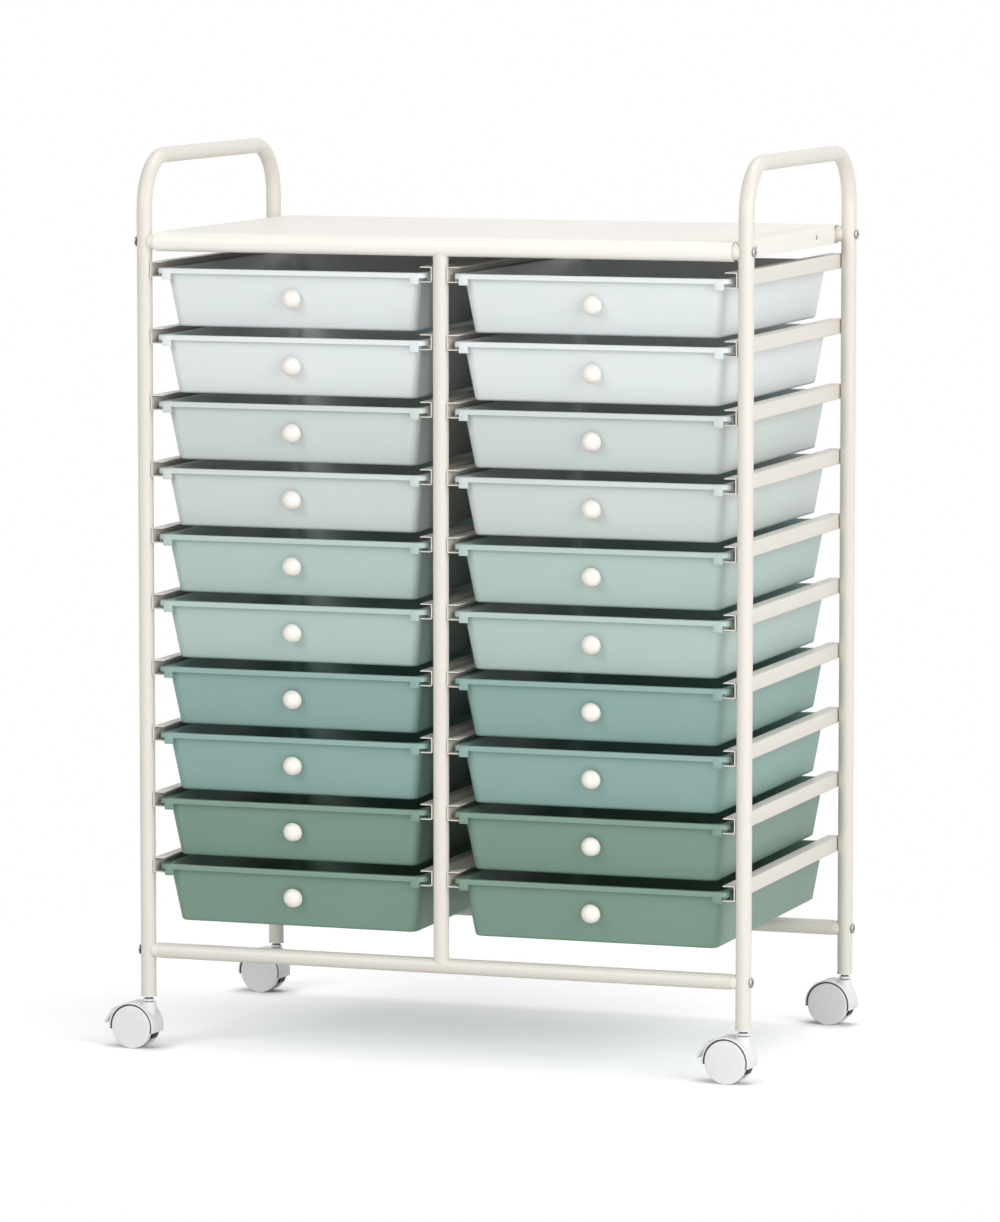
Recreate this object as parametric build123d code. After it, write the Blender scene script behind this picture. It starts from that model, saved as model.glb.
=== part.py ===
from build123d import *
from math import atan2, cos, degrees, radians, sin
import os

# Rolling drawer cart: a tube frame on four twin-wheel casters that carries two bays of
# plastic drawers on sheet rails, under a sheet top with a push handle at each side.
# Millimetres. X runs to the right, Y to the back and Z up.
# The origin is on the floor, midway between the four legs. The drawers open towards -Y.

# Driving dimensions of the tube frame
LEG_SPAN_X = 605.0  # between the leg axes, side to side
LEG_SPAN_Y = 348.0  # between the leg axes, front to back
CART_TOP_Z = 875.4  # top of the push handles
HANDLE_RISE = 79.5  # from the top panel up to the top of the handles
LEG_FOOT_Z = 52.4  # lower ends of the legs
LOWER_BAR_Z = 96.9  # axis of the lower cross bars
TUBE_R = 7.5  # legs, lower cross bars and centre posts
UPPER_BAR_R = 8.0  # cross bars inside the rolled edges of the top panel
TUBE_WALL = 1.2
HOOP_BEND_R = 50.0  # of the tube's centreline

# Top panel
PANEL_SHEET = 1.0
ROLL_GAP = 0.3  # between an upper cross bar and the sheet rolled round it
ROLL_OPEN_SHARE = 0.5  # height of the roll's free edge above its axis, of its radius
FLANGE_END_GAP = 1.5  # between a side flange's end and the roll
FLANGE_HOLE_R = 2.75
FLANGE_HOLE_SPAN = 204.0  # between the two holes of a side flange

# Frame joints
BAR_END_REACH = 12.0  # from a leg's axis to the cross bar's end
SADDLE_STEP = 0.5  # the saddle's neck is this much slimmer than its bar
PLUG_LENGTH = 16.0  # of the saddle's plug inside the bar
PLUG_GAP = 0.1
SCREW_R = 2.5
SCREW_HOLE_GAP = 0.3  # round the screw in the leg walls
SCREW_HEAD_R = 5.0
SCREW_HEAD_H = 1.6
SCREW_HEAD_EDGE_R = 1.2
SCREW_SOCKET_R = 1.7  # across the corners of the hexagon socket
SCREW_SOCKET_DEPTH = 1.1
SCREW_TIP_GAP = 3.0  # from the screw's tip to the plug's end

# Rails and their levels
LEVELS = 10
RAIL_H = 15.0
RAIL_FLANGE = 12.0
RAIL_SHEET = 1.0
RAIL_BEND_R = 1.6  # outside, where a flange leaves the web
RAIL_OVERHANG = 5.0  # past the leg axes, front and rear
TOP_RAIL_DROP = 28.3  # from the top panel down to the first rail
LAST_RAIL_RISE = 92.0  # from the lower bars' axis up to the top of the last rail

# Drawer tub
RUNNER_GAP = 0.3  # between a drawer's runner edge and the rail under it
RIM_HEADROOM = 5.2  # between the rim and the rail's upper flange
RIM_SIDE_GAP = 4.5  # between the rim and the rail's web
RIM_PROUD = 2.0  # past the rails, front and rear
RIM_BAND_H = 5.0
RIM_SHEET = 1.8
RIM_CORNER_R = 3.0
RIM_EDGE_CHAMFER = 1.5
RIM_END_W = 4.0  # from the rim's outer face to the end wall's outer face
TUB_RAIL_GAP = 1.4  # between a side wall and the rail flange's edge
TUB_WALL = 1.8
TUB_STACK_GAP = 7.6  # from a tub's underside down to the rim below it
TUB_SIDE_TAPER = 7.8  # by which a side wall leans in over its height
TUB_END_TAPER = 12.0
TUB_CORNER_R = 12.0  # at the rim
TUB_CORNER_LOSS = 3.0  # by which the corner radius shrinks down to the floor
TUB_FOOT_R = 3.0
LUG_W = 8.9
LUG_DROP = 10.8  # from the rim's top to the lug's lower end
LUG_DEPTH = 3.0
LUG_RAIL_GAP = 0.7  # between a lug and the rail flange's edge

# Drawer knob
KNOB_DROP = 26.6  # from the rim's top to the knob's centre
KNOB_R = 9.4
KNOB_H = 13.0
KNOB_NECK_R = 5.5
KNOB_NECK_H = 3.0
KNOB_EDGE_R = 1.5
KNOB_SCREW_R = 2.0
KNOB_SCREW_DEPTH = 7.5  # of the bore in the knob
KNOB_SCREW_TIP_GAP = 1.0
KNOB_SCREW_HEAD_R = 3.8
KNOB_SCREW_HEAD_H = 2.0
KNOB_SCREW_HEAD_EDGE_R = 1.2
KNOB_HOLE_GAP = 0.2

# Casters
WHEEL_R = 21.0
WHEEL_W = 7.0
WHEEL_EDGE_R = 1.6
WHEEL_WEB_GAP = 0.8  # between a wheel's inner face and the housing's web
WHEEL_HUB_R = 6.0
WHEEL_HUB_GAP = 0.3
AXLE_R = 2.5
AXLE_COVER = 2.5  # wheel left over the axle's end
CASTER_TRAIL = 14.0  # from the swivel axis back to the axle
CASTER_TURN_DEG = -5.5  # of the standing casters about the swivel axis
HOOD_GAP = 1.2  # between a wheel's tread and the hood
HOOD_WALL = 1.7
HOOD_SIDE_STEP = 0.8  # the hood ends this far inside the wheels' outer faces
HOOD_LEAD_DROP = 8.0  # below the axle, where the hood ends at its leading side
HOOD_TRAIL_DROP = 3.0
WEB_W = 10.4
BOSS_R = 7.2
BOSS_TOP_Z = 45.6
STEM_R = 4.0
STEM_DEPTH = 18.0  # in the housing
STEM_RISE = 30.0  # in the socket
COLLAR_R = 5.5
COLLAR_H = 3.0
SOCKET_FLANGE_H = 1.4
SOCKET_FLANGE_STEP = 0.3  # by which the socket's flange is wider than the leg
SOCKET_ROOF = 3.0

# Brake pedal of a front caster
PEDAL_PIN_RADIUS_OUT = 16.0  # from the axle to the pedal's pin
PEDAL_PIN_DEG = 150.0  # of the pin round the axle, from the leading side
PEDAL_PIN_R = 1.5
PEDAL_EYE_R = 3.0
PEDAL_ARM_W = 4.0
PEDAL_ARM_H = 3.0
PEDAL_SLOT_GAP = 0.4
PEDAL_TOP_STEP = 2.6  # the pad's upper end stands this far outside the hood
PEDAL_HEEL_STEP = 3.9
PEDAL_TIP_STEP = 7.5
PEDAL_TIP_UNDER_STEP = 5.5
PEDAL_ROOT_STEP = 2.7  # where the tab's underside meets the pad
PEDAL_TOP_DEG = 136.0  # these angles are about the axle, from the leading side
PEDAL_HEEL_DEG = 146.5
PEDAL_TIP_DEG = 174.0
PEDAL_TIP_UNDER_DEG = 177.0
PEDAL_ROOT_DEG = 161.0
PEDAL_FOOT_DEG = 144.5  # of the line that ends the pad below, where it would reach the tread
PEDAL_HOOD_GAP = 0.6
PEDAL_PAD_W = 16.0
PEDAL_SLOT_SHARES = (0.38, 1.12)  # of the hood's radius, where the slot begins and ends
PEDAL_SLOT_LOW_SHARE = 0.16
PEDAL_SLOT_HIGH_SHARE = 0.7

# Fits
SEAT_GAP = 0.05  # between fixed pieces that touch
RUN_GAP = 0.05  # radial, between a shaft and the hole it turns in
OVERRUN = 4.0  # by which a cutting shape runs past what it cuts

# Places that follow from the sizes
LEG_X = LEG_SPAN_X / 2
LEG_Y = LEG_SPAN_Y / 2
PANEL_TOP_Z = CART_TOP_Z - HANDLE_RISE
HOOP_AXIS_Z = CART_TOP_Z - TUBE_R
BEAD_R = UPPER_BAR_R + ROLL_GAP + PANEL_SHEET
UPPER_BAR_Z = PANEL_TOP_Z - BEAD_R
BAR_LENGTH = LEG_SPAN_X - 2 * BAR_END_REACH
BAY_X = LEG_X / 2
RAIL_WEB_X = BAY_X - TUBE_R - SEAT_GAP
RAIL_LENGTH = LEG_SPAN_Y + 2 * RAIL_OVERHANG
FIRST_RAIL_TOP_Z = PANEL_TOP_Z - TOP_RAIL_DROP
LAST_RAIL_TOP_Z = LOWER_BAR_Z + LAST_RAIL_RISE
RAIL_PITCH = (FIRST_RAIL_TOP_Z - LAST_RAIL_TOP_Z) / (LEVELS - 1)
RIM_DROP = RAIL_SHEET + RIM_HEADROOM  # from a rail's top to the rim's top
RUNNER_H = RAIL_H - RIM_DROP - RAIL_SHEET - RUNNER_GAP
RIM_HALF_X = RAIL_WEB_X - RAIL_SHEET - RIM_SIDE_GAP
RIM_HALF_Y = RAIL_LENGTH / 2 + RIM_PROUD
TUB_H = RAIL_PITCH - TUB_STACK_GAP
TUB_HALF_X = RAIL_WEB_X - RAIL_FLANGE - TUB_RAIL_GAP
TUB_HALF_Y = RIM_HALF_Y - RIM_END_W
HOOD_INNER_R = WHEEL_R + HOOD_GAP
HOOD_R = HOOD_INNER_R + HOOD_WALL
WHEEL_INNER_Y = WEB_W / 2 + WHEEL_WEB_GAP
WHEEL_OUTER_Y = WHEEL_INNER_Y + WHEEL_W
HOOD_HALF_W = WHEEL_OUTER_Y - HOOD_SIDE_STEP
AXLE_HALF_L = WHEEL_OUTER_Y - AXLE_COVER
SOCKET_BASE_Z = LEG_FOOT_Z - SOCKET_FLANGE_H
SCREW_HOLE_R = SCREW_R + SCREW_HOLE_GAP
PEDAL_PIN_U = PEDAL_PIN_RADIUS_OUT * cos(radians(PEDAL_PIN_DEG))
PEDAL_PIN_W = PEDAL_PIN_RADIUS_OUT * sin(radians(PEDAL_PIN_DEG))

SIDES = {"left": -1, "right": 1}
ENDS = {"front": -1, "rear": 1}
ALONG_X = Rot(0, 90, 0)
ALONG_Y = Rot(90, 0, 0)


def drum(radius, low, high):
    """Upright cylinder between two heights on the Z axis."""
    return Pos(0, 0, (low + high) / 2) * Cylinder(radius, high - low)


def pipe(radius, low, high):
    """Upright tube of the frame's wall between two heights."""
    return drum(radius, low, high) - drum(radius - TUBE_WALL, low - OVERRUN, high + OVERRUN)


def block(x_low, x_high, y_low, y_high, z_low, z_high):
    """Box between two corners."""
    centre = Pos((x_low + x_high) / 2, (y_low + y_high) / 2, (z_low + z_high) / 2)
    return centre * Box(x_high - x_low, y_high - y_low, z_high - z_low)


def cap_screw(radius, length, head_r, head_h, edge_r):
    """Screw on the Z axis: rounded head above the seat at zero, shank below it."""
    head = drum(head_r, 0, head_h)
    head = fillet(head.edges().group_by(Axis.Z)[-1], edge_r)
    return head + drum(radius, -length, 0)


def side_hoop(side):
    """Two legs and the push handle, bent from one tube, with the screw holes."""
    x = side * LEG_X
    path = FilletPolyline(
        (x, -LEG_Y, LEG_FOOT_Z),
        (x, -LEG_Y, HOOP_AXIS_Z),
        (x, LEG_Y, HOOP_AXIS_Z),
        (x, LEG_Y, LEG_FOOT_Z),
        radius=HOOP_BEND_R,
    )
    section = Circle(TUBE_R) - Circle(TUBE_R - TUBE_WALL)
    hoop = sweep(Plane(path @ 0, z_dir=path % 0) * section, path=path)
    drill = ALONG_X * Cylinder(SCREW_HOLE_R, 2 * (TUBE_R + OVERRUN))
    for y in (-LEG_Y, LEG_Y):
        for z in (LOWER_BAR_Z, UPPER_BAR_Z):
            hoop -= Pos(x, y, z) * drill
    return hoop


def cross_bars():
    """Four bars along X: lower and upper, front and rear."""
    half = BAR_LENGTH / 2 - SEAT_GAP
    bars = []
    for radius, z in ((TUBE_R, LOWER_BAR_Z), (UPPER_BAR_R, UPPER_BAR_Z)):
        for y in (-LEG_Y, LEG_Y):
            bars.append(Pos(0, y, z) * ALONG_X * pipe(radius, -half, half))
    return bars


def end_saddle(bar_r):
    """Coped neck between a leg and a bar's end, with a plug for the bar.

    The leg's axis is the Z axis and the bar runs towards +X.
    """
    plug_end = BAR_END_REACH + PLUG_LENGTH
    neck = ALONG_X * drum(bar_r - SADDLE_STEP, 0, BAR_END_REACH)
    neck -= Cylinder(TUBE_R + SEAT_GAP, 2 * (bar_r + OVERRUN))
    plug = ALONG_X * drum(bar_r - TUBE_WALL - PLUG_GAP, BAR_END_REACH, plug_end)
    return neck + plug - ALONG_X * drum(SCREW_R + SEAT_GAP, 0, plug_end + OVERRUN)


def frame_screw():
    """Screw through a leg into the saddle's plug, head on the leg's outer side."""
    length = TUBE_R + SEAT_GAP + BAR_END_REACH + PLUG_LENGTH - SCREW_TIP_GAP
    screw = cap_screw(SCREW_R, length, SCREW_HEAD_R, SCREW_HEAD_H, SCREW_HEAD_EDGE_R)
    socket = extrude(RegularPolygon(SCREW_SOCKET_R, 6), amount=SCREW_SOCKET_DEPTH + OVERRUN)
    screw -= Pos(0, 0, SCREW_HEAD_H - SCREW_SOCKET_DEPTH) * socket
    return Pos(-TUBE_R - SEAT_GAP, 0, 0) * Rot(0, -90, 0) * screw


def at_bar_ends(lower, upper):
    """Copies of two pieces at the ends of the lower and the upper cross bars."""
    placed = []
    for piece, z in ((lower, LOWER_BAR_Z), (upper, UPPER_BAR_Z)):
        for y in (-LEG_Y, LEG_Y):
            for turn, side in ((0, -1), (180, 1)):
                placed.append(Pos(side * LEG_X, y, z) * Rot(0, 0, turn) * piece)
    return placed


def top_panel():
    """Sheet with rolled front and rear edges and a holed flange down each side."""
    inner_r = BEAD_R - PANEL_SHEET
    roll = Circle(BEAD_R) - Circle(inner_r)
    reach = BEAD_R + OVERRUN
    free_edge = (reach, ROLL_OPEN_SHARE * reach)
    opening = Polygon((0, 0), free_edge, (reach, reach), (0, reach), align=None)
    front_roll = roll - opening
    plate = Pos(0, PANEL_TOP_Z - PANEL_SHEET / 2) * Rectangle(LEG_SPAN_Y, PANEL_SHEET)
    profile = plate + Pos(-LEG_Y, UPPER_BAR_Z) * front_roll
    profile += Pos(LEG_Y, UPPER_BAR_Z) * mirror(front_roll, about=Plane.YZ)
    half = BAR_LENGTH / 2
    panel = extrude(Plane.YZ * profile, amount=half, both=True)
    flange_y = LEG_Y - BEAD_R - FLANGE_END_GAP
    drill = ALONG_X * Cylinder(FLANGE_HOLE_R, 2 * (PANEL_SHEET + OVERRUN))
    for side in (-1, 1):
        outer, inner = side * half, side * (half - PANEL_SHEET)
        low = PANEL_TOP_Z - 2 * BEAD_R
        flange = block(min(outer, inner), max(outer, inner), -flange_y, flange_y, low, PANEL_TOP_Z)
        for y in (-FLANGE_HOLE_SPAN / 2, FLANGE_HOLE_SPAN / 2):
            flange -= Pos(outer, y, UPPER_BAR_Z) * drill
        panel += flange
    return panel


def centre_posts():
    """Front and rear posts between the bays, coped to the bar below and the roll above."""
    across = 2 * (TUBE_R + OVERRUN)
    lower_cope = Pos(0, 0, LOWER_BAR_Z) * ALONG_X * Cylinder(TUBE_R + SEAT_GAP, across)
    upper_cope = Pos(0, 0, UPPER_BAR_Z) * ALONG_X * Cylinder(BEAD_R + SEAT_GAP, across)
    post = pipe(TUBE_R, LOWER_BAR_Z, UPPER_BAR_Z) - lower_cope - upper_cope
    return [Pos(0, y, 0) * post for y in (-LEG_Y, LEG_Y)]


def rail():
    """C section with its web's back at the origin's plane, opening towards +X."""
    outer = Pos(RAIL_FLANGE / 2, 0) * Rectangle(RAIL_FLANGE, RAIL_H)
    outer = fillet(outer.vertices().group_by(Axis.X)[0], RAIL_BEND_R)
    hollow_w = RAIL_FLANGE - RAIL_SHEET + OVERRUN
    hollow = Pos(RAIL_SHEET + hollow_w / 2, 0) * Rectangle(hollow_w, RAIL_H - 2 * RAIL_SHEET)
    hollow = fillet(hollow.vertices().group_by(Axis.X)[0], RAIL_BEND_R - RAIL_SHEET)
    section = Plane.XZ * (outer - hollow)
    return extrude(section, amount=RAIL_LENGTH / 2, both=True)


def bay_rails(side):
    """Both columns of rails of one bay, all levels."""
    left_rail = rail()
    right_rail = mirror(left_rail, about=Plane.YZ)
    placed = []
    for level in range(LEVELS):
        z = FIRST_RAIL_TOP_Z - RAIL_H / 2 - level * RAIL_PITCH
        placed.append(Pos(side * BAY_X - RAIL_WEB_X, 0, z) * left_rail)
        placed.append(Pos(side * BAY_X + RAIL_WEB_X, 0, z) * right_rail)
    return placed


def tub_section(z, inset):
    """The tub's outline at a height below the rim's top, drawn in by an inset."""
    depth_share = -z / TUB_H
    half_x = TUB_HALF_X - TUB_SIDE_TAPER * depth_share - inset
    half_y = TUB_HALF_Y - TUB_END_TAPER * depth_share - inset
    radius = TUB_CORNER_R - TUB_CORNER_LOSS * depth_share - inset
    return Pos(0, 0, z) * RectangleRounded(2 * half_x, 2 * half_y, radius)


def drawer_rim():
    """Turned-down rim with the runner edges that ride in the rails."""
    inner_x, inner_y = RIM_HALF_X - RIM_SHEET, RIM_HALF_Y - RIM_SHEET
    rim = block(-RIM_HALF_X, RIM_HALF_X, -RIM_HALF_Y, RIM_HALF_Y, -RIM_BAND_H, 0)
    rim = fillet(rim.edges().filter_by(Axis.Z), RIM_CORNER_R)
    rim = chamfer(rim.edges().group_by(Axis.Z)[-1], RIM_EDGE_CHAMFER)
    rim -= block(-inner_x, inner_x, -inner_y, inner_y, -RIM_BAND_H - OVERRUN, -RIM_SHEET)
    runner_y = RIM_HALF_Y - RIM_CORNER_R
    for side in (-1, 1):
        outer, inner = side * RIM_HALF_X, side * inner_x
        low, high = min(outer, inner), max(outer, inner)
        rim += block(low, high, -runner_y, runner_y, -RUNNER_H, -RIM_BAND_H)
    return rim


def corner_lugs():
    """Lugs under the rim at both front corners, clear of the rail flanges."""
    outer = RAIL_WEB_X - RAIL_FLANGE - LUG_RAIL_GAP
    y_low, y_high = -RIM_HALF_Y, -RIM_HALF_Y + LUG_DEPTH
    lugs = block(-outer, LUG_W - outer, y_low, y_high, -LUG_DROP, -RIM_SHEET)
    return lugs + block(outer - LUG_W, outer, y_low, y_high, -LUG_DROP, -RIM_SHEET)


def knob_seat():
    """Plane on the front wall's outer face at the knob's centre, Z out of the wall."""
    depth_share = KNOB_DROP / TUB_H
    y = -(TUB_HALF_Y - TUB_END_TAPER * depth_share)
    return Plane(origin=(0, y, -KNOB_DROP), x_dir=(1, 0, 0), z_dir=(0, -TUB_H, -TUB_END_TAPER))


def drawer():
    """Tapered tub with its rim, lugs and knob hole. The rim's top is at zero height."""
    floor_z = TUB_WALL - TUB_H
    shell = loft([tub_section(-TUB_H, 0), tub_section(0, 0)], ruled=True)
    shell = fillet(shell.edges().group_by(Axis.Z)[0], TUB_FOOT_R)
    room = loft([tub_section(floor_z, TUB_WALL), tub_section(OVERRUN, TUB_WALL)], ruled=True)
    room = fillet(room.edges().group_by(Axis.Z)[0], TUB_FOOT_R - TUB_WALL)
    tub = shell + drawer_rim() + corner_lugs() - room
    return tub - knob_seat().location * Cylinder(KNOB_SCREW_R + KNOB_HOLE_GAP, 2 * OVERRUN)


def knob():
    """Domed knob on a short neck, and the screw that holds it from inside the tub."""
    dome_rise = KNOB_H - KNOB_NECK_H - KNOB_EDGE_R
    dome_r = (KNOB_R**2 + dome_rise**2) / (2 * dome_rise)
    head = drum(KNOB_R, KNOB_NECK_H, KNOB_H) & Pos(0, 0, KNOB_H - dome_r) * Sphere(dome_r)
    head = chamfer(head.edges().group_by(Axis.Z)[0], KNOB_EDGE_R / 2)
    body = head + drum(KNOB_NECK_R, SEAT_GAP, KNOB_NECK_H)
    body -= drum(KNOB_SCREW_R + SEAT_GAP, -OVERRUN, KNOB_SCREW_DEPTH)
    wall = TUB_WALL * cos(atan2(TUB_END_TAPER, TUB_H)) + SEAT_GAP
    length = wall + KNOB_SCREW_DEPTH - KNOB_SCREW_TIP_GAP
    screw = cap_screw(
        KNOB_SCREW_R, length, KNOB_SCREW_HEAD_R, KNOB_SCREW_HEAD_H, KNOB_SCREW_HEAD_EDGE_R
    )
    seat = knob_seat().location
    return [seat * body, seat * Pos(0, 0, -wall) * Rot(180, 0, 0) * screw]


def drawer_place(side, level):
    """Where the top of a drawer's rim sits."""
    z = FIRST_RAIL_TOP_Z - RIM_DROP - level * RAIL_PITCH
    return Pos(side * BAY_X, 0, z)


def caster_place(x, y):
    """Axle centre of the caster under a leg, with the casters' standing turn."""
    return Pos(x, y, WHEEL_R) * Rot(0, 0, CASTER_TURN_DEG) * Pos(-CASTER_TRAIL, 0, 0)


def disc(radius, half_width):
    """Cylinder on the axle's line, centred."""
    return ALONG_Y * Cylinder(radius, 2 * half_width)


def pedal_slot():
    """Space in the web and hood that the brake pedal's arm swings in."""
    near, far = (-share * HOOD_R for share in PEDAL_SLOT_SHARES)
    half = PEDAL_ARM_W / 2 + PEDAL_SLOT_GAP
    low, high = PEDAL_SLOT_LOW_SHARE * HOOD_R, PEDAL_SLOT_HIGH_SHARE * HOOD_R
    return block(far, near, -half, half, low, high)


def caster_housing(braked):
    """Hood over both wheels, the web between them and the stem's boss.

    The axle's centre is the origin and the swivel axis lies ahead of it, at +X.
    """
    boss_top = BOSS_TOP_Z - WHEEL_R
    boss = Pos(CASTER_TRAIL, 0, 0) * drum(BOSS_R, 0, boss_top)
    boss = fillet(boss.edges().group_by(Axis.Z)[-1], HOOD_WALL / 2)
    shell = disc(HOOD_R, HOOD_HALF_W)
    housing = shell + boss - disc(HOOD_INNER_R, HOOD_HALF_W + OVERRUN)
    housing += disc(HOOD_INNER_R + HOOD_WALL / 2, WEB_W / 2)
    below, wide = -HOOD_R - OVERRUN, HOOD_R + OVERRUN
    housing -= block(0, wide, -wide, wide, below, -HOOD_LEAD_DROP)
    hub_side = -WHEEL_HUB_R - OVERRUN
    housing -= block(-wide, hub_side, -wide, wide, below, -HOOD_TRAIL_DROP)
    housing -= block(-wide, OVERRUN, -wide, wide, below, -HOOD_LEAD_DROP)
    housing -= disc(AXLE_R + RUN_GAP, WEB_W)
    stem_low = boss_top - STEM_DEPTH
    housing -= Pos(CASTER_TRAIL, 0, 0) * drum(STEM_R + SEAT_GAP, stem_low, boss_top + OVERRUN)
    if braked:
        pin = Pos(PEDAL_PIN_U, 0, PEDAL_PIN_W) * disc(PEDAL_PIN_R + RUN_GAP, WEB_W)
        housing = housing - pedal_slot() - pin
    return housing


def caster_stem():
    """Steel stem with its collar, fixed in the housing and turning in the socket."""
    boss_top = BOSS_TOP_Z - WHEEL_R
    stem_top = SOCKET_BASE_Z + STEM_RISE - WHEEL_R
    stem = drum(STEM_R, boss_top - STEM_DEPTH + SEAT_GAP, stem_top)
    stem = chamfer(stem.edges().group_by(Axis.Z)[-1], STEM_R / 4)
    collar = drum(COLLAR_R, boss_top + SEAT_GAP, boss_top + COLLAR_H)
    return Pos(CASTER_TRAIL, 0, 0) * (stem + collar)


def caster_socket():
    """Plug in a leg's lower end with the bore that the stem turns in."""
    roof = SOCKET_BASE_Z + STEM_RISE + RUNNER_GAP
    plug = drum(TUBE_R - TUBE_WALL - SEAT_GAP, SOCKET_BASE_Z, roof + SOCKET_ROOF)
    flange = drum(TUBE_R + SOCKET_FLANGE_STEP, SOCKET_BASE_Z, LEG_FOOT_Z - SEAT_GAP)
    return plug + flange - drum(STEM_R + RUN_GAP, SOCKET_BASE_Z - OVERRUN, roof)


def caster_wheel():
    """One wheel on the +Y side, hub towards the web, closed over the axle's end."""
    wheel = ALONG_Y * drum(WHEEL_R, -WHEEL_OUTER_Y, -WHEEL_INNER_Y)
    rims = wheel.edges().filter_by(GeomType.CIRCLE)
    wheel = fillet(rims, WHEEL_EDGE_R)
    hub_y = WEB_W / 2 + WHEEL_HUB_GAP
    wheel += ALONG_Y * drum(WHEEL_HUB_R, -WHEEL_INNER_Y - WHEEL_EDGE_R, -hub_y)
    return wheel - disc(AXLE_R + SEAT_GAP, AXLE_HALF_L + SEAT_GAP)


def wheel_set():
    """Both wheels of a caster and the axle that turns with them."""
    wheel = caster_wheel()
    return [wheel, mirror(wheel, about=Plane.XZ), disc(AXLE_R, AXLE_HALF_L)]


def round_axle(radius, angle):
    """Point beside a caster, in the plane across its axle."""
    return radius * cos(radians(angle)), radius * sin(radians(angle))


def brake_pedal():
    """Pedal outside the hood's trailing side, on a pin through the web.

    The pad follows the hood, and a tab leaves it downwards and outwards for a shoe to press.
    """
    inner_r = HOOD_R + PEDAL_HOOD_GAP
    outline = Polygon(
        round_axle(HOOD_INNER_R, PEDAL_TOP_DEG),
        round_axle(HOOD_R + PEDAL_TOP_STEP, PEDAL_TOP_DEG),
        round_axle(HOOD_R + PEDAL_HEEL_STEP, PEDAL_HEEL_DEG),
        round_axle(HOOD_R + PEDAL_TIP_STEP, PEDAL_TIP_DEG),
        round_axle(HOOD_R + PEDAL_TIP_UNDER_STEP, PEDAL_TIP_UNDER_DEG),
        round_axle(HOOD_R + PEDAL_ROOT_STEP, PEDAL_ROOT_DEG),
        round_axle(HOOD_INNER_R, PEDAL_FOOT_DEG),
        align=None,
    )
    pad = outline - Circle(inner_r)
    pedal = extrude(Plane.XZ * pad, amount=PEDAL_PAD_W / 2, both=True)
    arm_length = HOOD_R + PEDAL_TOP_STEP - PEDAL_PIN_RADIUS_OUT
    arm = block(0, arm_length, -PEDAL_ARM_W / 2, PEDAL_ARM_W / 2, 0, PEDAL_ARM_H)
    eye = disc(PEDAL_EYE_R, PEDAL_ARM_W / 2)
    pin = disc(PEDAL_PIN_R, WEB_W / 2)
    at_pin = Pos(PEDAL_PIN_U, 0, PEDAL_PIN_W)
    return pedal + at_pin * (Rot(0, -PEDAL_PIN_DEG, 0) * arm + eye + pin)


def write(name, solids):
    """One STEP file for a piece, or for several alike that share a name."""
    shape = Compound(solids) if isinstance(solids, list) else solids
    export_step(shape, f"parts/{name}.step")


def write_frame():
    """The pieces that stand still."""
    for name, side in SIDES.items():
        write(f"{name}_side_hoop", side_hoop(side))
        write(f"{name}_bay_rails", bay_rails(side))
    write("cross_bars", cross_bars())
    write("bar_end_saddles", at_bar_ends(end_saddle(TUBE_R), end_saddle(UPPER_BAR_R)))
    write("frame_screws", at_bar_ends(frame_screw(), frame_screw()))
    write("top_panel", top_panel())
    write("centre_posts", centre_posts())
    sockets = [Pos(x, y, 0) * caster_socket() for x in (-LEG_X, LEG_X) for y in (-LEG_Y, LEG_Y)]
    write("caster_sockets", sockets)


def write_drawers():
    """Every drawer with its knob."""
    tub, knob_pieces = drawer(), knob()
    for name, side in SIDES.items():
        for level in range(LEVELS):
            place = drawer_place(side, level)
            write(f"drawer_{name}_{level + 1:02d}", place * tub)
            write(f"knob_{name}_{level + 1:02d}", [place * piece for piece in knob_pieces])


def write_casters():
    """A caster under each leg, with a brake at the front ones."""
    wheels, stem, pedal = wheel_set(), caster_stem(), brake_pedal()
    for end, y_side in ENDS.items():
        braked = end == "front"
        housing = caster_housing(braked)
        for name, side in SIDES.items():
            place = caster_place(side * LEG_X, y_side * LEG_Y)
            write(f"caster_{end}_{name}", [place * housing, place * stem])
            write(f"wheels_{end}_{name}", [place * piece for piece in wheels])
            if braked:
                write(f"brake_{end}_{name}", place * pedal)


def main():
    os.makedirs("parts", exist_ok=True)
    write_frame()
    write_drawers()
    write_casters()
    print(f"rail pitch {RAIL_PITCH:.2f}, tub {2 * TUB_HALF_X:.1f} x {2 * TUB_HALF_Y:.1f} x {TUB_H:.1f}")
    print(f"knob tilt {degrees(atan2(TUB_END_TAPER, TUB_H)):.1f} degrees down")


if __name__ == "__main__":
    main()
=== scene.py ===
"""Looks of the rolling drawer cart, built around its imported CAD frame.

Everything stands in the CAD frame: X to the right, Y to the back, Z up and the floor at zero.
Sizes are written in millimetres, and the workshop functions turn them to Blender's metres.
"""

import logging
import math
from dataclasses import dataclass
from enum import Enum
from typing import Callable

import bmesh
import bpy
from mathutils import Matrix, Vector


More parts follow.
